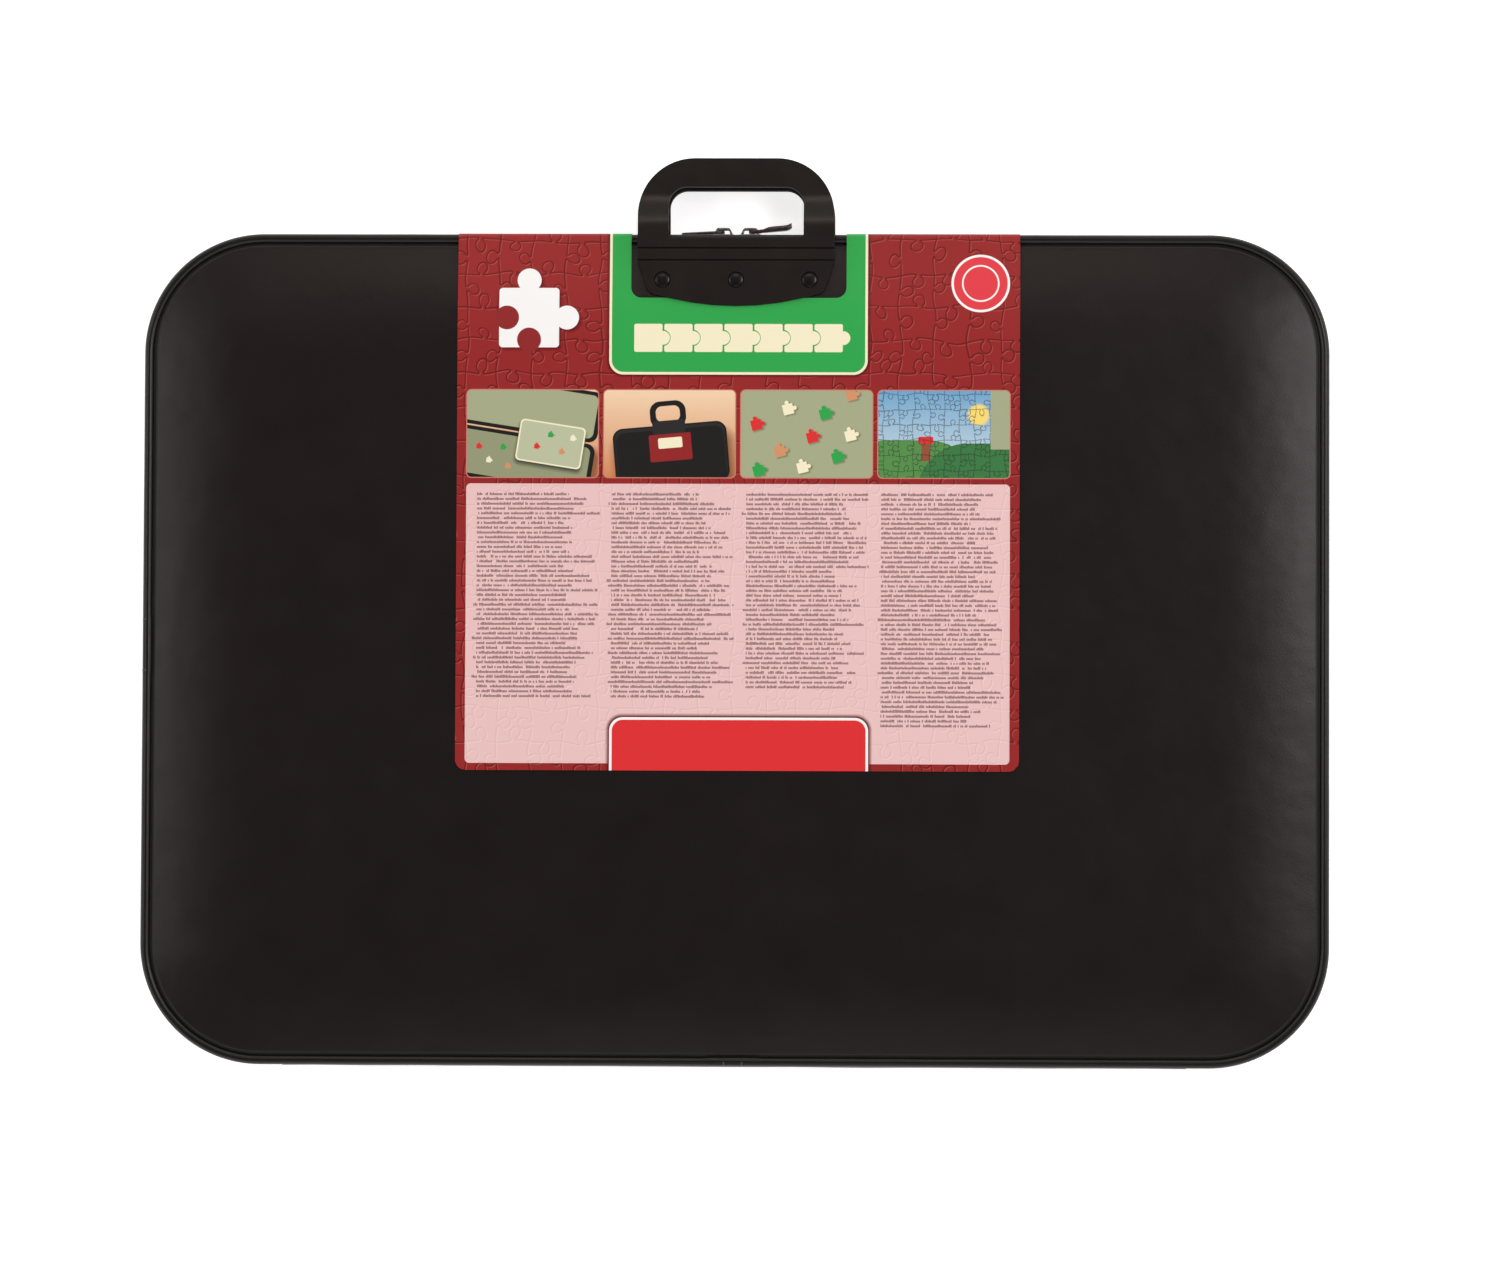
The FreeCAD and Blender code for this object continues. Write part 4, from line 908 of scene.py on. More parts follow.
shader.inputs["Specular IOR Level"].default_value = 0.42
relief(tree, shader, [(spark.outputs["Fac"], 0.02 * MM)])
for half in ("lid", "tray"):
    handle = make_handle(f"{half}_moulded_handle")
    if half == "tray":
        handle.data.transform(TURN_OVER)
    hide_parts(f"{half}_handle_plate", f"{half}_grip")
    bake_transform(handle)

# Rivets
# Blackened steel rivets hold each handle: a low domed head, sunk in its seat, and a
# shank through the card, cover, foam and board to a washer.
HEAD_RADIUS, HEAD_RISE, SHANK_RADIUS = 5.2 * MM, 1.1 * MM, 2.4 * MM
SHANK_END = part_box("lid_rivets")[0].z


def make_rivets(name):
    bm = bmesh.new()
    seat = PLATE_FACE - SEAT_DEPTH
    for place in (-RIVET_PITCH, 0, RIVET_PITCH):
        points = [(HEAD_RADIUS * math.sin(angle), seat + HEAD_RISE * math.cos(angle))
                  for angle in (QUARTER * step / 8 for step in range(9))]
        points += [(SHANK_RADIUS, seat), (SHANK_RADIUS, SHANK_END), (0, SHANK_END)]
        section = chain(bm, [(place + x, RIVET_LINE, z) for x, z in points])
        verts = {v for e in section for v in e.verts}
        bmesh.ops.spin(bm, geom=section + list(verts), cent=(place, RIVET_LINE, 0), axis=(0, 0, 1),
                       angle=2 * math.pi, steps=32, use_merge=True)
    bmesh.ops.remove_doubles(bm, verts=bm.verts, dist=0.001 * MM)
    return finished(bm, name, BLACK_STEEL, 45)


BLACK_STEEL, tree, shader = new_material("blackened_steel")
place = add(tree, "ShaderNodeTexCoord").outputs["Object"]
tree.links.new(blotch(tree, place, shade(22, 21, 22), shade(34, 32, 33), 1.5 * MM), shader.inputs["Base Color"])
shader.inputs["Metallic"].default_value = 0.5
shader.inputs["Roughness"].default_value = 0.28
for_both_halves("blackened_rivets", make_rivets, "rivet", "rivets")

# Printed cards
# A stiff printed card on each face, folded over the piping at the handle edge, held under the
# handle's plate, and cut out round the handle.
CARD_LOW, CARD_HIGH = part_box("lid_card")
CARD_THICKNESS = 0.4 * MM
CARD_X = (CARD_LOW.x + CARD_HIGH.x) / 2
CARD_HALF = (CARD_HIGH.x - CARD_LOW.x) / 2
CARD_CORNER = 7 * MM
FOLD_RADIUS = BEAD_RADIUS + 0.1 * MM + CARD_THICKNESS
LIFT_INSET = 36 * MM
WINDOW_HALF, WINDOW_SILL = 71.7 * MM, EDGE - 43 * MM


def card_path():
    """The card's outer face in side view: points (y, z) from its lower edge to its folded end."""
    top = LID_FACE + CARD_THICKNESS
    points = [(CARD_LOW.y, top), (EDGE - SLOPE_RUN, top)]
    for step in range(1, 9):
        inset = SLOPE_RUN + (LIFT_INSET - SLOPE_RUN) * step / 8
        points.append((EDGE - inset, top - slope_depth(inset)))
    for step in range(0, 9):
        angle = QUARTER * step / 8
        points.append((EDGE - BEAD_RADIUS + FOLD_RADIUS * math.sin(angle),
                       BEAD_Z + FOLD_RADIUS * math.cos(angle)))
    points.append((EDGE - BEAD_RADIUS + FOLD_RADIUS, CARD_LOW.z))
    return [Vector(point) for point in points]


def along_path(path, distance):
    """The point that far along a path."""
    for here, there in zip(path, path[1:]):
        step = (there - here).length
        if distance <= step or there is path[-1]:
            return here + (there - here) * (distance / step)
        distance -= step
    return path[-1]


def make_card(name):
    bm = bmesh.new()
    path = card_path()
    stops = [0.0]
    for here, there in zip(path, path[1:]):
        stops.append(stops[-1] + (there - here).length)
    length = stops[-1]
    sill = WINDOW_SILL - CARD_LOW.y
    corners = [(-CARD_HALF, 0, CARD_CORNER), (CARD_HALF, 0, CARD_CORNER), (CARD_HALF, length, 0),
               (WINDOW_HALF, length, 0), (WINDOW_HALF, sill, CARD_CORNER), (-WINDOW_HALF, sill, CARD_CORNER),
               (-WINDOW_HALF, length, 0), (-CARD_HALF, length, 0)]
    rounded_face(bm, corners)
    lines = [(0, stop, 0, 1) for stop in stops[1:-1]] + [(0, 20 * MM * n, 0, 1) for n in range(1, 14)]
    lines += [(20 * MM * n, 0, 1, 0) for n in range(-9, 10)]
    for x, y, across, up in lines:
        geometry = list(bm.verts) + list(bm.edges) + list(bm.faces)
        bmesh.ops.bisect_plane(bm, geom=geometry, dist=0.001 * MM, plane_co=(x, y, 0), plane_no=(across, up, 0))
    print_map = bm.loops.layers.uv.new("print")
    for face in bm.faces:
        for loop in face.loops:
            loop[print_map].uv = (loop.vert.co.x, loop.vert.co.y)
    for vert in bm.verts:
        across, along = vert.co.x, vert.co.y
        y, z = along_path(path, along)
        vert.co = (CARD_X + across, y, z)
    for face in bm.faces:
        face.normal_update()
    piece = finished(bm, name, PRINT, 40)
    flip_up(piece)
    wall = piece.modifiers.new("thickness", "SOLIDIFY")
    wall.thickness = CARD_THICKNESS
    wall.offset = -1
    return piece


def flip_up(piece):
    """Turns a sheet's faces outwards, so that its thickness goes inwards."""
    if piece.data.polygons[0].normal.z < 0:
        piece.data.flip_normals()


def box_group():
    """A node group that is 1 inside a box with rounded corners and 0 outside."""
    group = bpy.data.node_groups.new("rounded_box", "ShaderNodeTree")
    for name in ("Place", "Centre", "Reach"):
        group.interface.new_socket(name, in_out="INPUT", socket_type="NodeSocketVector")
    for name in ("Outer", "Inner"):
        group.interface.new_socket(name, in_out="INPUT", socket_type="NodeSocketFloat")
    group.interface.new_socket("Inside", in_out="OUTPUT", socket_type="NodeSocketFloat")
    given = add(group, "NodeGroupInput").outputs
    offset = add(group, "ShaderNodeVectorMath", {0: given["Place"], 1: given["Centre"]}, operation="SUBTRACT").outputs[0]
    offset = add(group, "ShaderNodeVectorMath", {0: offset}, operation="ABSOLUTE").outputs[0]
    past = add(group, "ShaderNodeVectorMath", {0: offset, 1: given["Reach"]}, operation="SUBTRACT").outputs[0]
    past = add(group, "ShaderNodeVectorMath", {0: past, 1: (0, 0, 0)}, operation="MAXIMUM").outputs[0]
    away = add(group, "ShaderNodeVectorMath", {0: past}, operation="LENGTH").outputs["Value"]
    inside = add(group, "ShaderNodeMapRange", {"Value": away, "From Min": given["Outer"], "From Max": given["Inner"]})
    add(group, "NodeGroupOutput", {"Inside": inside.outputs[0]})
    return group


def within(tree, place, centre, half, radius, blur=0.12):
    """1 inside a box with rounded corners and 0 outside, in millimetres on the card."""
    given = {"Place": place, "Centre": (*centre, 0), "Reach": (half[0] - radius, half[1] - radius, 0),
             "Outer": radius + blur, "Inner": radius - blur}
    return add(tree, "ShaderNodeGroup", given, node_tree=ROUNDED_BOX).outputs[0]


def maths(tree, operation, *values):
    """The result of a sum on sockets and numbers."""
    return add(tree, "ShaderNodeMath", dict(enumerate(values)), operation=operation).outputs[0]


def cuts_one_way(tree, across, along, seed):
    """How near a jigsaw's cuts of one direction are, in cells. Each bulges into a knob on one side."""
    line = maths(tree, "ROUND", across)
    cell = maths(tree, "FLOOR", along)
    where = add(tree, "ShaderNodeCombineXYZ", {"X": line, "Y": cell, "Z": seed}).outputs[0]
    chance = add(tree, "ShaderNodeTexWhiteNoise", {"Vector": where}, noise_dimensions="3D")
    side = maths(tree, "SIGN", maths(tree, "SUBTRACT", chance.outputs["Value"], 0.5))
    x = maths(tree, "MULTIPLY", maths(tree, "SUBTRACT", across, line), side)
    middle = maths(tree, "MULTIPLY_ADD", chance.outputs["Value"], 0.16, 0.42)
    y = maths(tree, "ABSOLUTE", maths(tree, "SUBTRACT", maths(tree, "SUBTRACT", along, cell), middle))
    spot = add(tree, "ShaderNodeCombineXYZ", {"X": maths(tree, "SUBTRACT", x, KNOB_OUT), "Y": y}).outputs[0]
    knob = add(tree, "ShaderNodeVectorMath", {0: spot}, operation="LENGTH").outputs["Value"]
    knob = maths(tree, "SUBTRACT", knob, KNOB_RADIUS)
    neck = maths(tree, "MAXIMUM", maths(tree, "SUBTRACT", y, NECK_HALF), maths(tree, "SUBTRACT", x, KNOB_OUT))
    edge = maths(tree, "SMOOTH_MIN", maths(tree, "SMOOTH_MIN", x, neck, 0.07), knob, 0.05)
    return maths(tree, "ABSOLUTE", edge)


def jigsaw_cuts(tree, place, shift, width):
    """1 on a jigsaw's cuts, for a print that is moved by a shift, in millimetres."""
    moved = add(tree, "ShaderNodeVectorMath", {0: place, 1: shift}, operation="ADD").outputs[0]
    cells = add(tree, "ShaderNodeVectorMath", {0: moved, "Scale": 1 / JIGSAW_CELL}, operation="SCALE").outputs[0]
    sway = add(tree, "ShaderNodeTexNoise", {"Vector": cells, "Scale": 0.9, "Detail": 0.0}, noise_dimensions="2D")
    sway = add(tree, "ShaderNodeVectorMath", {0: sway.outputs["Color"], "Scale": 0.3}, operation="SCALE").outputs[0]
    cells = add(tree, "ShaderNodeVectorMath", {0: cells, 1: sway}, operation="ADD").outputs[0]
    parts = add(tree, "ShaderNodeSeparateXYZ", {"Vector": cells})
    u, v = parts.outputs["X"], parts.outputs["Y"]
    near = maths(tree, "MINIMUM", cuts_one_way(tree, u, v, 1.0), cuts_one_way(tree, v, u, 2.0))
    return add(tree, "ShaderNodeMapRange", {"Value": near, "From Min": width / JIGSAW_CELL,
                                            "From Max": 0.3 * width / JIGSAW_CELL}).outputs[0]


def small_print(tree, place, left, width, low, high, seed):
    """1 on the strokes of a column of tiny print: rows of words that stand for no language."""
    parts = add(tree, "ShaderNodeSeparateXYZ", {"Vector": place})
    u, v = maths(tree, "SUBTRACT", parts.outputs["X"], left), parts.outputs["Y"]
    row = maths(tree, "FLOOR", maths(tree, "DIVIDE", v, ROW_PITCH))
    height = maths(tree, "FRACT", maths(tree, "DIVIDE", v, ROW_PITCH))
    letter = maths(tree, "FLOOR", maths(tree, "DIVIDE", u, LETTER_PITCH))
    stroke = maths(tree, "FRACT", maths(tree, "DIVIDE", u, LETTER_PITCH))
    per_row = add(tree, "ShaderNodeCombineXYZ", {"Y": row, "Z": seed}).outputs[0]
    row_chance = add(tree, "ShaderNodeTexWhiteNoise", {"Vector": per_row}).outputs["Value"]
    per_letter = add(tree, "ShaderNodeCombineXYZ", {"X": letter, "Y": row, "Z": seed}).outputs[0]
    chance = add(tree, "ShaderNodeTexWhiteNoise", {"Vector": per_letter}).outputs["Value"]
    heading = maths(tree, "GREATER_THAN", row_chance, 0.9)
    fill = maths(tree, "LESS_THAN", chance, maths(tree, "MULTIPLY_ADD", heading, 0.06, 0.86))
    tall = maths(tree, "MULTIPLY_ADD", maths(tree, "GREATER_THAN", chance, 0.55), 0.16, 0.56)
    fill = maths(tree, "MULTIPLY", fill, maths(tree, "LESS_THAN", height, tall))
    fill = maths(tree, "MULTIPLY", fill, maths(tree, "GREATER_THAN", height, 0.14))
    fill = maths(tree, "MULTIPLY", fill, maths(tree, "LESS_THAN", stroke, 0.8))
    reach = maths(tree, "MULTIPLY_ADD", maths(tree, "FRACT", maths(tree, "MULTIPLY", row_chance, 7.0)),
                  0.3 * width, 0.7 * width)
    fill = maths(tree, "MULTIPLY", fill, maths(tree, "LESS_THAN", u, reach))
    indent = maths(tree, "MULTIPLY_ADD", heading, -3.0, 3.0)
    fill = maths(tree, "MULTIPLY", fill, maths(tree, "GREATER_THAN", u, indent))
    fill = maths(tree, "MULTIPLY", fill, maths(tree, "GREATER_THAN", v, low))
    return maths(tree, "MULTIPLY", fill, maths(tree, "LESS_THAN", v, high))


def piece_shapes(centre, size, colour, back):
    """A jigsaw piece: a square with two knobs and two sockets."""
    u, v = centre
    knob, out = 0.2 * size, 0.63 * size
    square = [(centre, (size / 2, size / 2), 0.06 * size, colour)]
    knobs = [((u + out, v), (knob, knob), knob, colour), ((u, v + out), (knob, knob), knob, colour)]
    sockets = [((u + out - size, v), (knob, knob), knob, back), ((u, v + out - size), (knob, knob), knob, back)]
    return square + knobs + sockets


ROUNDED_BOX = box_group()
JIGSAW_CELL = 22.3
KNOB_OUT, KNOB_RADIUS, NECK_HALF = 0.21, 0.165, 0.07
ROW_PITCH, LETTER_PITCH = 3.2, 0.95
RED, DEEP_RED, LIGHT_RED = shade(150, 42, 43), shade(104, 20, 25), shade(190, 88, 78)
GREEN, CREAM, WHITE = shade(50, 168, 80), shade(247, 240, 205), shade(250, 250, 248)
PINK, TAB_RED, INK = shade(236, 198, 196), shade(224, 52, 54), shade(96, 56, 58)
SAGE, BLACK = shade(168, 174, 138), shade(34, 32, 32)
TAN = shade(214, 150, 108)
TILE_HALF, TILE_V, TILE_PITCH = (43.6, 29.0), 224.0, 91.2


def drawn(tree, place, fill, number, turn, shapes):
    """Shapes about the middle of a picture's tile, turned by an angle, over a fill."""
    middle = (TILE_PITCH * (number - 1.5), TILE_V, 0)
    local = add(tree, "ShaderNodeMapping", {"Vector": place, "Location": middle, "Rotation": (0, 0, turn)},
                vector_type="TEXTURE").outputs[0]
    for shape in shapes:
        fill = over(tree, fill, shape[3], within(tree, local, *shape[:3], *shape[4:]))
    return fill


def pictures(tree, place):
    """Four small pictures: an open case, a shut one, loose pieces on felt, and a puzzle half made."""
    height = add(tree, "ShaderNodeSeparateXYZ", {"Vector": place}).outputs["Y"]
    fade = add(tree, "ShaderNodeMapRange", {"Value": height, "From Min": TILE_V - TILE_HALF[1],
                                            "From Max": TILE_V + TILE_HALF[1]}).outputs[0]
    warm = over(tree, shade(212, 138, 88), shade(246, 214, 178), fade)
    soft_black, dusk, pale_sage = shade(46, 46, 46), shade(150, 98, 66), shade(190, 196, 162)
    opened = [((-2, -21), (50, 17), 7, dusk, 3), ((-4, 17), (47, 17), 6, BLACK), ((-4, 17), (44, 14.5), 4, SAGE),
              ((-4, -18), (47, 17), 6, BLACK), ((-4, -18), (44, 14.5), 4, shade(150, 156, 122)),
              ((13, -7), (22, 14), 3, soft_black, 2), ((13, -5), (22, 14), 3, CREAM),
              ((13, -5), (21, 13), 2.5, pale_sage)]
    loose = [(-34, -14, TAB_RED), (-26, -22, CREAM), (-18, -12, GREEN), (-13, -24, TAN), (4, -8, TAB_RED),
             (12, 1, GREEN), (21, -9, TAN), (27, 1, CREAM)]
    for u, v, paint in loose:
        opened += piece_shapes((u, v), 3.2, paint, SAGE)[:3]
    shut = [((2, -20), (40, 20), 9, dusk, 4), ((0, -14), (38, 20), 7, BLACK), ((0, -13.5), (36.5, 18.5), 6, soft_black),
            ((0, -15), (36, 18), 6, BLACK), ((0, 13), (12, 9), 7, BLACK), ((0, 13.5), (8, 5.2), 4, warm),
            ((0, 4.5), (11, 4.5), 2, soft_black), ((0, -9), (14, 9), 1, RED), ((0, -6), (8, 3.5), 1, CREAM)]
    felt = []
    loose = [(-31, 14, TAB_RED), (-8, 19, CREAM), (15, 10, GREEN), (35, 18, TAN), (-20, -7, TAN),
             (3, -3, TAB_RED), (28, -8, CREAM), (-37, -16, GREEN), (-8, -21, CREAM), (16, -20, GREEN)]
    for u, v, paint in loose:
        felt += [(*shape, 0.8) for shape in piece_shapes((u + 0.8, v - 0.8), 7, shade(112, 118, 88), SAGE)[:3]]
        felt += piece_shapes((u, v), 7, paint, SAGE)[:3]
    hills = [((23, 13), (7, 7), 7, shade(250, 222, 120), 1), ((-24, -36), (46, 32), 32, shade(88, 146, 78)),
             ((30, -40), (48, 34), 34, shade(62, 124, 70)), ((-12, -12), (3, 6), 1, shade(150, 84, 60)),
             ((-12, -4), (5, 2.4), 1, TAB_RED)]
    sky = over(tree, shade(206, 226, 232), shade(112, 168, 208), fade)
    made = drawn(tree, place, sky, 3, 0, hills)
    closer = add(tree, "ShaderNodeVectorMath", {0: place, "Scale": 2.2}, operation="SCALE").outputs[0]
    made = over(tree, made, soft_black, maths(tree, "MULTIPLY", jigsaw_cuts(tree, closer, (7, 3, 0), 0.9), 0.7))
    made = over(tree, made, SAGE, within(tree, place, (TILE_PITCH * 1.5 + 44, TILE_V + 20), (13, 30), 1))
    return [drawn(tree, place, warm, 0, math.radians(-9), opened), drawn(tree, place, warm, 1, math.radians(5), shut),
            drawn(tree, place, SAGE, 2, math.radians(14), felt), made]


def print_card(tree, place):
    """The card's print: a red jigsaw field, a green panel, four pictures, tiny print and a red tab."""
    colour = blotch(tree, place, shade(147, 41, 42), shade(154, 45, 44), 140, 0.25, 1.0)
    light = jigsaw_cuts(tree, place, (-0.6, 0.6, 0), 0.6)
    dark = jigsaw_cuts(tree, place, (0, 0, 0), 0.75)
    colour = over(tree, colour, LIGHT_RED, maths(tree, "MULTIPLY", light, 0.7))
    colour = over(tree, colour, DEEP_RED, maths(tree, "MULTIPLY", dark, 0.9))
    shapes = [((0, 340), (87.4, 77.9), 10.4, DEEP_RED, 0.9), ((0, 340), (86, 76.5), 9.5, CREAM),
              ((0, 340), (84.3, 74.8), 8, GREEN)]
    shapes += [(*shape, 1.3) for shape in piece_shapes((-138, 300), 40, DEEP_RED, DEEP_RED)[:3]]
    shapes += piece_shapes((-139.5, 301.5), 40, WHITE, shade(146, 44, 45))
    shapes += [((161, 325), (19.5, 19.5), 19.5, WHITE), ((161, 325), (17.9, 17.9), 17.9, shade(228, 66, 76)),
               ((161, 325), (12.5, 12.5), 12.5, WHITE), ((161, 325), (11.4, 11.4), 11.4, shade(228, 66, 76))]
    for number in range(7):
        u, v = 60 - 20 * number, 288
        shapes += [((u + 9.2, v), (5.6, 5.6), 5.6, GREEN), ((u, v), (9.4, 9.4), 1.2, CREAM),
                   ((u + 9.8, v), (4.6, 4.6), 4.6, CREAM)]
    for shape in shapes:
        colour = over(tree, colour, shape[3], within(tree, place, *shape[:3], *shape[4:]))
    for number, paint in enumerate(pictures(tree, place)):
        centre = (TILE_PITCH * (number - 1.5), TILE_V)
        frame_half = (TILE_HALF[0] + 0.7, TILE_HALF[1] + 0.7)
        colour = over(tree, colour, shade(206, 128, 112), within(tree, place, centre, frame_half, 3.7))
        colour = over(tree, colour, paint, within(tree, place, centre, TILE_HALF, 3))
    pink = over(tree, PINK, shade(250, 222, 220), maths(tree, "MULTIPLY", light, 0.5))
    pink = over(tree, pink, shade(214, 170, 168), maths(tree, "MULTIPLY", dark, 0.35))
    for number, low in enumerate((48.0, 48.0, 54.4, 28.8)):
        strokes = small_print(tree, place, -176.5 + 89.6 * number, 85, low, 186.0, 3.0 + number)
        pink = over(tree, pink, INK, maths(tree, "MULTIPLY", strokes, 0.8))
    colour = over(tree, colour, pink, within(tree, place, (0, 97.7), (180.8, 93), 3))
    for half, radius, paint, blur in (((87.6, 37), 10, DEEP_RED, 1.2), ((86, 35.4), 9, WHITE, 0.12),
                                      ((84.3, 33.7), 7.5, TAB_RED, 0.12)):
        colour = over(tree, colour, paint, within(tree, place, (1.2, 0), half, radius, blur))
    return colour


PRINT, tree, shader = new_material("printed_card")
metres = add(tree, "ShaderNodeUVMap", uv_map="print").outputs[0]
place = add(tree, "ShaderNodeVectorMath", {0: metres, "Scale": 1 / MM}, operation="SCALE").outputs[0]
tree.links.new(print_card(tree, place), shader.inputs["Base Color"])
shader.inputs["Roughness"].default_value = 0.36
shader.inputs["Specular IOR Level"].default_value = 0.2
surface = add(tree, "ShaderNodeTexCoord").outputs["Object"]
fibres = add(tree, "ShaderNodeTexNoise", {"Vector": surface, "Scale": 700.0, "Detail": 3.0})
waves = add(tree, "ShaderNodeTexNoise", {"Vector": surface, "Scale": 14.0, "Detail": 1.0})
relief(tree, shader, [(waves.outputs["Fac"], 0.5 * MM), (fibres.outputs["Fac"], 0.012 * MM)])
for_both_halves("printed_card", make_card, "card", "card")

# Sliders
# Two nickel-plated zip sliders meet under the handles. Each has an outer and an inner plate on a
# post, and carries an arched bridge for its pull, a darker tab. The right tab's tip turns up.
SLIDER_LENGTH, SLIDER_WIDTH, SLIDER_PLATE = 15 * MM, 11 * MM, 1.4 * MM
POST = 0.5 * MM


def slider_frame(side):
    """Puts a slider that was made about its own middle on the zip: X along it, Y out, Z across."""
    low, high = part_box(f"{side}_slider")
    return Matrix.Translation(((low.x + high.x) / 2, high.y, MIDDLE))


def slab(bm, corners, low, high, edge):
    """A plate through (x, z, radius) corners, from one height to another along Y, its edges rounded."""
    part = bmesh.new()
    rounded_face(part, corners)
    grown = bmesh.ops.extrude_face_region(part, geom=list(part.faces))["geom"]
    top = [g for g in grown if isinstance(g, bmesh.types.BMVert)]
    bmesh.ops.translate(part, vec=(0, 0, high - low), verts=top)
    bmesh.ops.recalc_face_normals(part, faces=part.faces)
    rims = [e for e in part.edges if e.calc_face_angle() > math.radians(50)]
    bmesh.ops.bevel(part, geom=rims, offset=edge, offset_type="OFFSET", affect="EDGES", segments=2,
                    profile=0.5, material=-1)
    turn = Matrix.Translation((0, low, 0)) @ Matrix(((1, 0, 0, 0), (0, 0, 1, 0), (0, 1, 0, 0), (0, 0, 0, 1)))
    bmesh.ops.transform(part, matrix=turn, verts=part.verts)
    spare = bpy.data.meshes.new("spare")
    part.to_mesh(spare)
    part.free()
    bm.from_mesh(spare)
    bpy.data.meshes.remove(spare)


def make_slider(name, side):
    bm = bmesh.new()
    long, wide, narrow = SLIDER_LENGTH / 2, SLIDER_WIDTH / 2, 3.9 * MM
    front = 1 if side == "right" else -1
    shield = [(-front * long, -narrow, 1.2 * MM), (-front * 0.2 * long, -narrow * 1.05, 0),
              (front * 0.35 * long, -wide, 1.5 * MM), (front * long, -wide * 0.8, 2.2 * MM),
              (front * long, wide * 0.8, 2.2 * MM),
              (front * 0.35 * long, wide, 1.5 * MM), (-front * 0.2 * long, narrow * 1.05, 0),
              (-front * long, narrow, 1.2 * MM)]
    slab(bm, shield, -SLIDER_PLATE, 0, 0.45 * MM)
    inner = [(x * 0.96, z * 0.76, radius) for x, z, radius in shield]
    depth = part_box(f"{side}_slider")[1].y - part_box(f"{side}_slider")[0].y
    slab(bm, inner, -depth, -depth + 1.2 * MM, 0.3 * MM)
    core = [(-long * 0.3, -POST / 2, 0), (long * 0.3, -POST / 2, 0), (long * 0.3, POST / 2, 0),
            (-long * 0.3, POST / 2, 0)]
    slab(bm, core, -depth + 1.1 * MM, -SLIDER_PLATE + 0.1 * MM, 0.05 * MM)
    lip = [(-long * 0.7, -wide * 0.93, 0.3 * MM), (long * 0.7, -wide * 0.93, 0.3 * MM),
           (long * 0.7, -wide * 0.93 + 1.0 * MM, 0.3 * MM), (-long * 0.7, -wide * 0.93 + 1.0 * MM, 0.3 * MM)]
    slab(bm, lip, -SLIDER_PLATE - 1.7 * MM, -SLIDER_PLATE + 0.3 * MM, 0.1 * MM)
    bmesh.ops.transform(bm, matrix=slider_frame(side), verts=bm.verts)
    return finished(bm, name, NICKEL, 35)


BRIDGE_HALF, BRIDGE_HEIGHT, BRIDGE_SLOPE = 6.5 * MM, 4.6 * MM, 2.2 * MM
BRIDGE_WIRE, BRIDGE_WIDTH = 2.0 * MM, 3.4 * MM


def make_bridge(name, side):
    """A flat arch, thicker in the middle, with rounded shoulders."""
    bm = bmesh.new()
    flat = BRIDGE_HALF - BRIDGE_SLOPE
    under = BRIDGE_HEIGHT - BRIDGE_WIRE
    corners = [(-BRIDGE_HALF, 0, 0), (-BRIDGE_HALF + BRIDGE_WIRE, 0, 0), (-flat + 0.35 * MM, under, 0.9 * MM),
               (flat - 0.35 * MM, under, 0.9 * MM), (BRIDGE_HALF - BRIDGE_WIRE, 0, 0), (BRIDGE_HALF, 0, 0),
               (flat, BRIDGE_HEIGHT, 2.2 * MM), (-flat, BRIDGE_HEIGHT, 2.2 * MM)]
    rounded_face(bm, corners)
    grown = bmesh.ops.extrude_face_region(bm, geom=list(bm.faces))["geom"]
    far = [g for g in grown if isinstance(g, bmesh.types.BMVert)]
    bmesh.ops.translate(bm, vec=(0, 0, BRIDGE_WIDTH), verts=far)
    bmesh.ops.translate(bm, vec=(0, 0, -BRIDGE_WIDTH / 2), verts=bm.verts)
    bmesh.ops.recalc_face_normals(bm, faces=bm.faces)
    rims = [e for e in bm.edges if e.calc_face_angle() > math.radians(60)]
    bmesh.ops.bevel(bm, geom=rims, offset=0.35 * MM, offset_type="OFFSET", affect="EDGES", segments=3,
                    profile=0.5, material=-1)
    bmesh.ops.transform(bm, matrix=slider_frame(side), verts=bm.verts)
    return finished(bm, name, NICKEL, 35)


PULL_LENGTH, PULL_HALF, PULL_THICKNESS, PULL_SWELL = 28 * MM, 3.4 * MM, 1.8 * MM, 1.6 * MM
PULL_SLOT, PULL_ARM, PULL_PIN = 7.5 * MM, 1.3 * MM, 1.0 * MM
PULL_ANGLES = {"right": math.radians(5), "left": math.radians(183)}
PIVOT_HEIGHT = 1.5 * MM


def pull_curl(x):
    """The small hook that the right tab's tip turns up into."""
    return 1.5 * MM * max(0.0, (x - 23.5 * MM) / (4.5 * MM)) ** 2.2


def pull_swell(x):
    """How much thicker the right tab is beyond its slot, on its outer side."""
    return PULL_SWELL * min(1.0, max(0.0, (x - 8 * MM) / (5 * MM)))


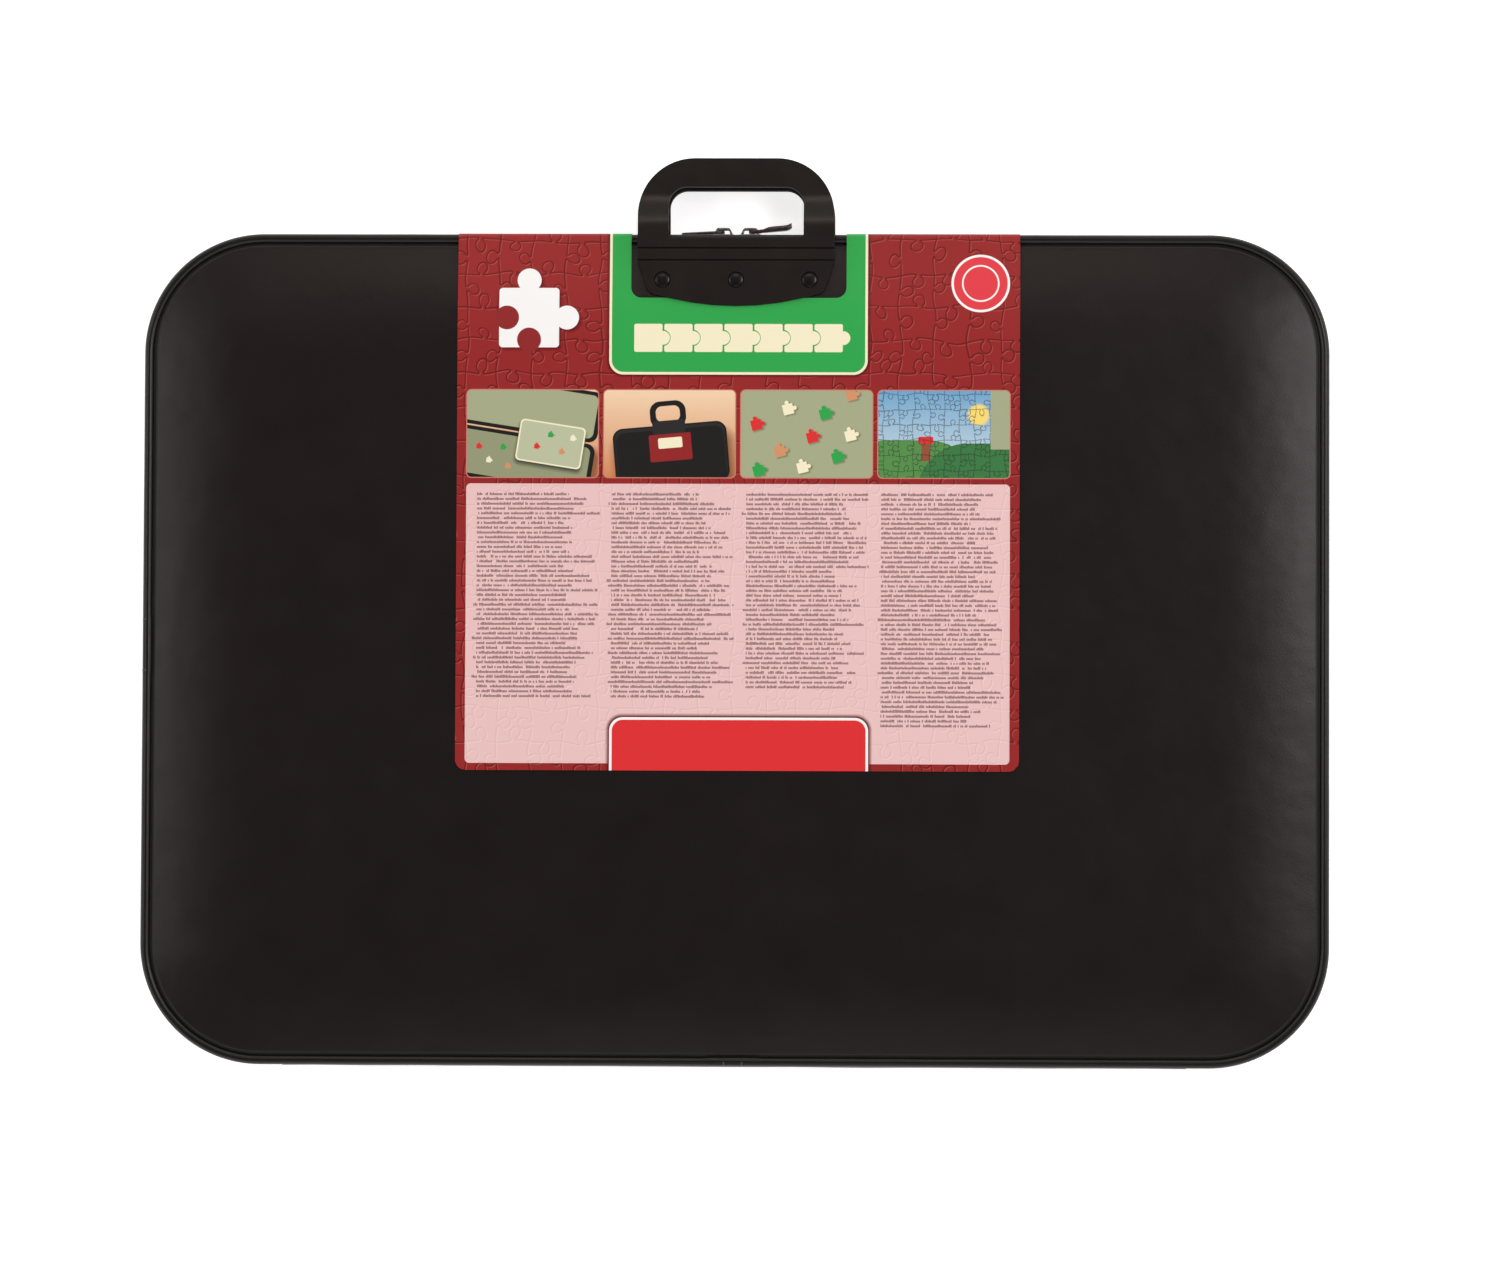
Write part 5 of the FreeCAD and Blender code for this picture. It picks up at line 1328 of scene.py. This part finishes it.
def make_pull(name, side):
    bm = bmesh.new()
    slot_half = PULL_HALF - PULL_ARM
    outer = [(0, -PULL_HALF, 0), (PULL_LENGTH, -PULL_HALF, 2.4 * MM), (PULL_LENGTH, PULL_HALF, 2.4 * MM),
             (0, PULL_HALF, 0)]
    inner = [(0.4 * MM, -slot_half, 0.4 * MM), (PULL_SLOT, -slot_half, 0.9 * MM), (PULL_SLOT, slot_half, 0.9 * MM),
             (0.4 * MM, slot_half, 0.4 * MM)]
    edges = chain(bm, outline_edges(outer), closed=True) + chain(bm, outline_edges(inner), closed=True)
    bmesh.ops.triangle_fill(bm, use_beauty=True, use_dissolve=False, edges=edges)
    for level in [9 * MM + 1.9 * MM * step for step in range(10)]:
        geometry = list(bm.verts) + list(bm.edges) + list(bm.faces)
        bmesh.ops.bisect_plane(bm, geom=geometry, dist=0.001 * MM, plane_co=(level, 0, 0), plane_no=(1, 0, 0))
    grown = bmesh.ops.extrude_face_region(bm, geom=list(bm.faces))["geom"]
    upper = {g for g in grown if isinstance(g, bmesh.types.BMVert)}
    for vert in bm.verts:
        vert.co.z = (1 if vert in upper else -1) * PULL_THICKNESS / 2
        if side == "right":
            vert.co.z += pull_curl(vert.co.x) + (pull_swell(vert.co.x) if vert in upper else 0)
    bmesh.ops.recalc_face_normals(bm, faces=bm.faces)
    rims = [e for e in bm.edges if len(e.link_faces) == 2 and e.calc_face_angle() > math.radians(60)]
    bmesh.ops.bevel(bm, geom=rims, offset=0.35 * MM, offset_type="OFFSET", affect="EDGES", segments=2,
                    profile=0.5, material=-1)
    bmesh.ops.create_cone(bm, cap_ends=True, segments=20, radius1=PULL_PIN, radius2=PULL_PIN, depth=2 * PULL_HALF,
                          matrix=Matrix.Rotation(QUARTER, 4, "X"))
    swap = Matrix(((1, 0, 0, 0), (0, 0, 1, 0), (0, 1, 0, 0), (0, 0, 0, 1)))
    turn = Matrix.Rotation(PULL_ANGLES[side], 4, "Z")
    place_it = slider_frame(side) @ Matrix.Translation((0, PIVOT_HEIGHT, 0)) @ turn @ swap
    bmesh.ops.transform(bm, matrix=place_it, verts=bm.verts)
    return finished(bm, name, GUNMETAL, 35)


GUNMETAL, tree, shader = new_material("gunmetal_plate")
place = add(tree, "ShaderNodeTexCoord").outputs["Object"]
tree.links.new(blotch(tree, place, shade(82, 76, 74), shade(108, 101, 98), 3 * MM), shader.inputs["Base Color"])
shader.inputs["Metallic"].default_value = 1.0
wear = add(tree, "ShaderNodeTexNoise", {"Vector": place, "Scale": 800.0, "Detail": 5.0})
rub = add(tree, "ShaderNodeMapRange", {"Value": wear.outputs["Fac"], "To Min": 0.24, "To Max": 0.46})
tree.links.new(rub.outputs[0], shader.inputs["Roughness"])
relief(tree, shader, [(wear.outputs["Fac"], 0.03 * MM)])
for side in ("left", "right"):
    stands_for(make_slider(f"{side}_nickel_slider", side), f"{side}_slider", "zip_metal", f"{side}_slider")
    stands_for(make_bridge(f"{side}_nickel_bridge", side), f"{side}_slider", "zip_metal", f"{side}_slider_bridge")
    stands_for(make_pull(f"{side}_nickel_pull", side), f"{side}_pull", "zip_metal", f"{side}_pull")

# Loose panels
# Two flexible panels lie on the felt, each a pale greyboard with felt on its upper face. The
# boards are cut pieces with a pale edge, so their CAD nodes stay.
GREYBOARD, tree, shader = new_material("pale_greyboard")
place = add(tree, "ShaderNodeTexCoord").outputs["Object"]
tree.links.new(blotch(tree, place, shade(214, 208, 186), shade(232, 227, 208), 3 * MM), shader.inputs["Base Color"])
shader.inputs["Roughness"].default_value = 0.85
pulp = add(tree, "ShaderNodeTexNoise", {"Vector": place, "Scale": 1600.0, "Detail": 4.0})
relief(tree, shader, [(pulp.outputs["Fac"], 0.06 * MM)])
for side in ("left", "right"):
    dress(GREYBOARD, f"{side}_panel_board")
    felt_sheet(f"{side}_panel_felt_sheet", f"{side}_panel_felt", f"{side}_panel")

# Floor, light and camera
# The case lies on a pale floor under soft light: a bright horizon, a dark ceiling, a large lamp
# at the right and smaller ones on the other sides. The camera looks down from above.
FLOOR_HALF = 6.0
PHOTO_WIDTH, PHOTO_SCALE = 1500, 0.664 * MM
VIEW_CENTRE = Vector((10.5 * MM, 11.9 * MM, LID_FACE))
LENS, SENSOR = 170.0, 36.0
VIEW_TILT, VIEW_LEAN, VIEW_ROLL = math.radians(2.6), math.radians(1.7), math.radians(0.25)


def make_floor():
    bm = bmesh.new()
    bmesh.ops.create_grid(bm, x_segments=2, y_segments=2, size=FLOOR_HALF)
    material, tree, shader = new_material("pale_floor")
    shader.inputs["Base Color"].default_value = (0.86, 0.86, 0.86, 1)
    shader.inputs["Roughness"].default_value = 1.0
    shader.inputs["Specular IOR Level"].default_value = 0.0
    rays = add(tree, "ShaderNodeLightPath")
    seen = add(tree, "ShaderNodeMath", {0: rays.outputs["Is Camera Ray"], 1: rays.outputs["Is Glossy Ray"]},
               operation="MAXIMUM")
    seen = add(tree, "ShaderNodeMath", {0: seen.outputs[0], 1: rays.outputs["Is Transmission Ray"]},
               operation="MAXIMUM")
    glow = add(tree, "ShaderNodeMath", {0: seen.outputs[0], 1: 0.7}, operation="MULTIPLY")
    shader.inputs["Emission Color"].default_value = (1, 1, 1, 1)
    tree.links.new(glow.outputs[0], shader.inputs["Emission Strength"])
    floor = finished(bm, "pale_floor", material)


def make_world():
    world = bpy.data.worlds.new("studio")
    bpy.context.scene.world = world
    world.use_nodes = True
    tree = world.node_tree
    way = add(tree, "ShaderNodeTexCoord").outputs["Generated"]
    height = add(tree, "ShaderNodeSeparateXYZ", {"Vector": way}).outputs["Z"]
    level = add(tree, "ShaderNodeMapRange", {"Value": height, "From Min": 0.1, "From Max": 0.95, "To Min": 1.9,
                                             "To Max": 0.03}, interpolation_type="SMOOTHSTEP")
    tree.links.new(level.outputs[0], tree.nodes["Background"].inputs["Strength"])
    tree.nodes["Background"].inputs["Color"].default_value = (1, 1, 1, 1)


def make_lamp(name, place, size, power, tint):
    lamp = bpy.data.lights.new(name, "AREA")
    lamp.shape = "RECTANGLE"
    lamp.size, lamp.size_y = size
    lamp.energy = power
    lamp.color = tint
    holder = bpy.data.objects.new(name, lamp)
    holder.location = place
    holder.rotation_euler = (-Vector(place)).to_track_quat("-Z", "Y").to_euler()
    bpy.context.scene.collection.objects.link(holder)


make_floor()
make_world()
make_lamp("key_lamp", (1.5, 0.5, 2.2), (0.8, 0.7), 19, (1.0, 0.93, 0.95))
make_lamp("fill_lamp", (-1.75, 0.3, 2.2), (1.1, 0.4), 9, (1.0, 0.93, 0.87))
make_lamp("top_lamp", (-0.1, 1.25, 2.2), (0.9, 0.25), 3.6, (1.0, 0.84, 0.7))
make_lamp("low_lamp", (0.1, -1.3, 2.2), (1.2, 0.25), 2.4, (1.0, 0.92, 0.92))
bpy.context.scene.view_settings.view_transform = "Standard"

camera = bpy.data.cameras.new("camera")
camera.lens, camera.sensor_width = LENS, SENSOR
holder = bpy.data.objects.new("camera", camera)
bpy.context.scene.collection.objects.link(holder)
bpy.context.scene.camera = holder
distance = PHOTO_WIDTH * PHOTO_SCALE * LENS / SENSOR
view = Matrix.Translation(VIEW_CENTRE) @ Matrix.Rotation(VIEW_LEAN, 4, "Y") @ Matrix.Rotation(VIEW_TILT, 4, "X")
holder.matrix_world = view @ Matrix.Rotation(VIEW_ROLL, 4, "Z") @ Matrix.Translation((0, 0, distance))
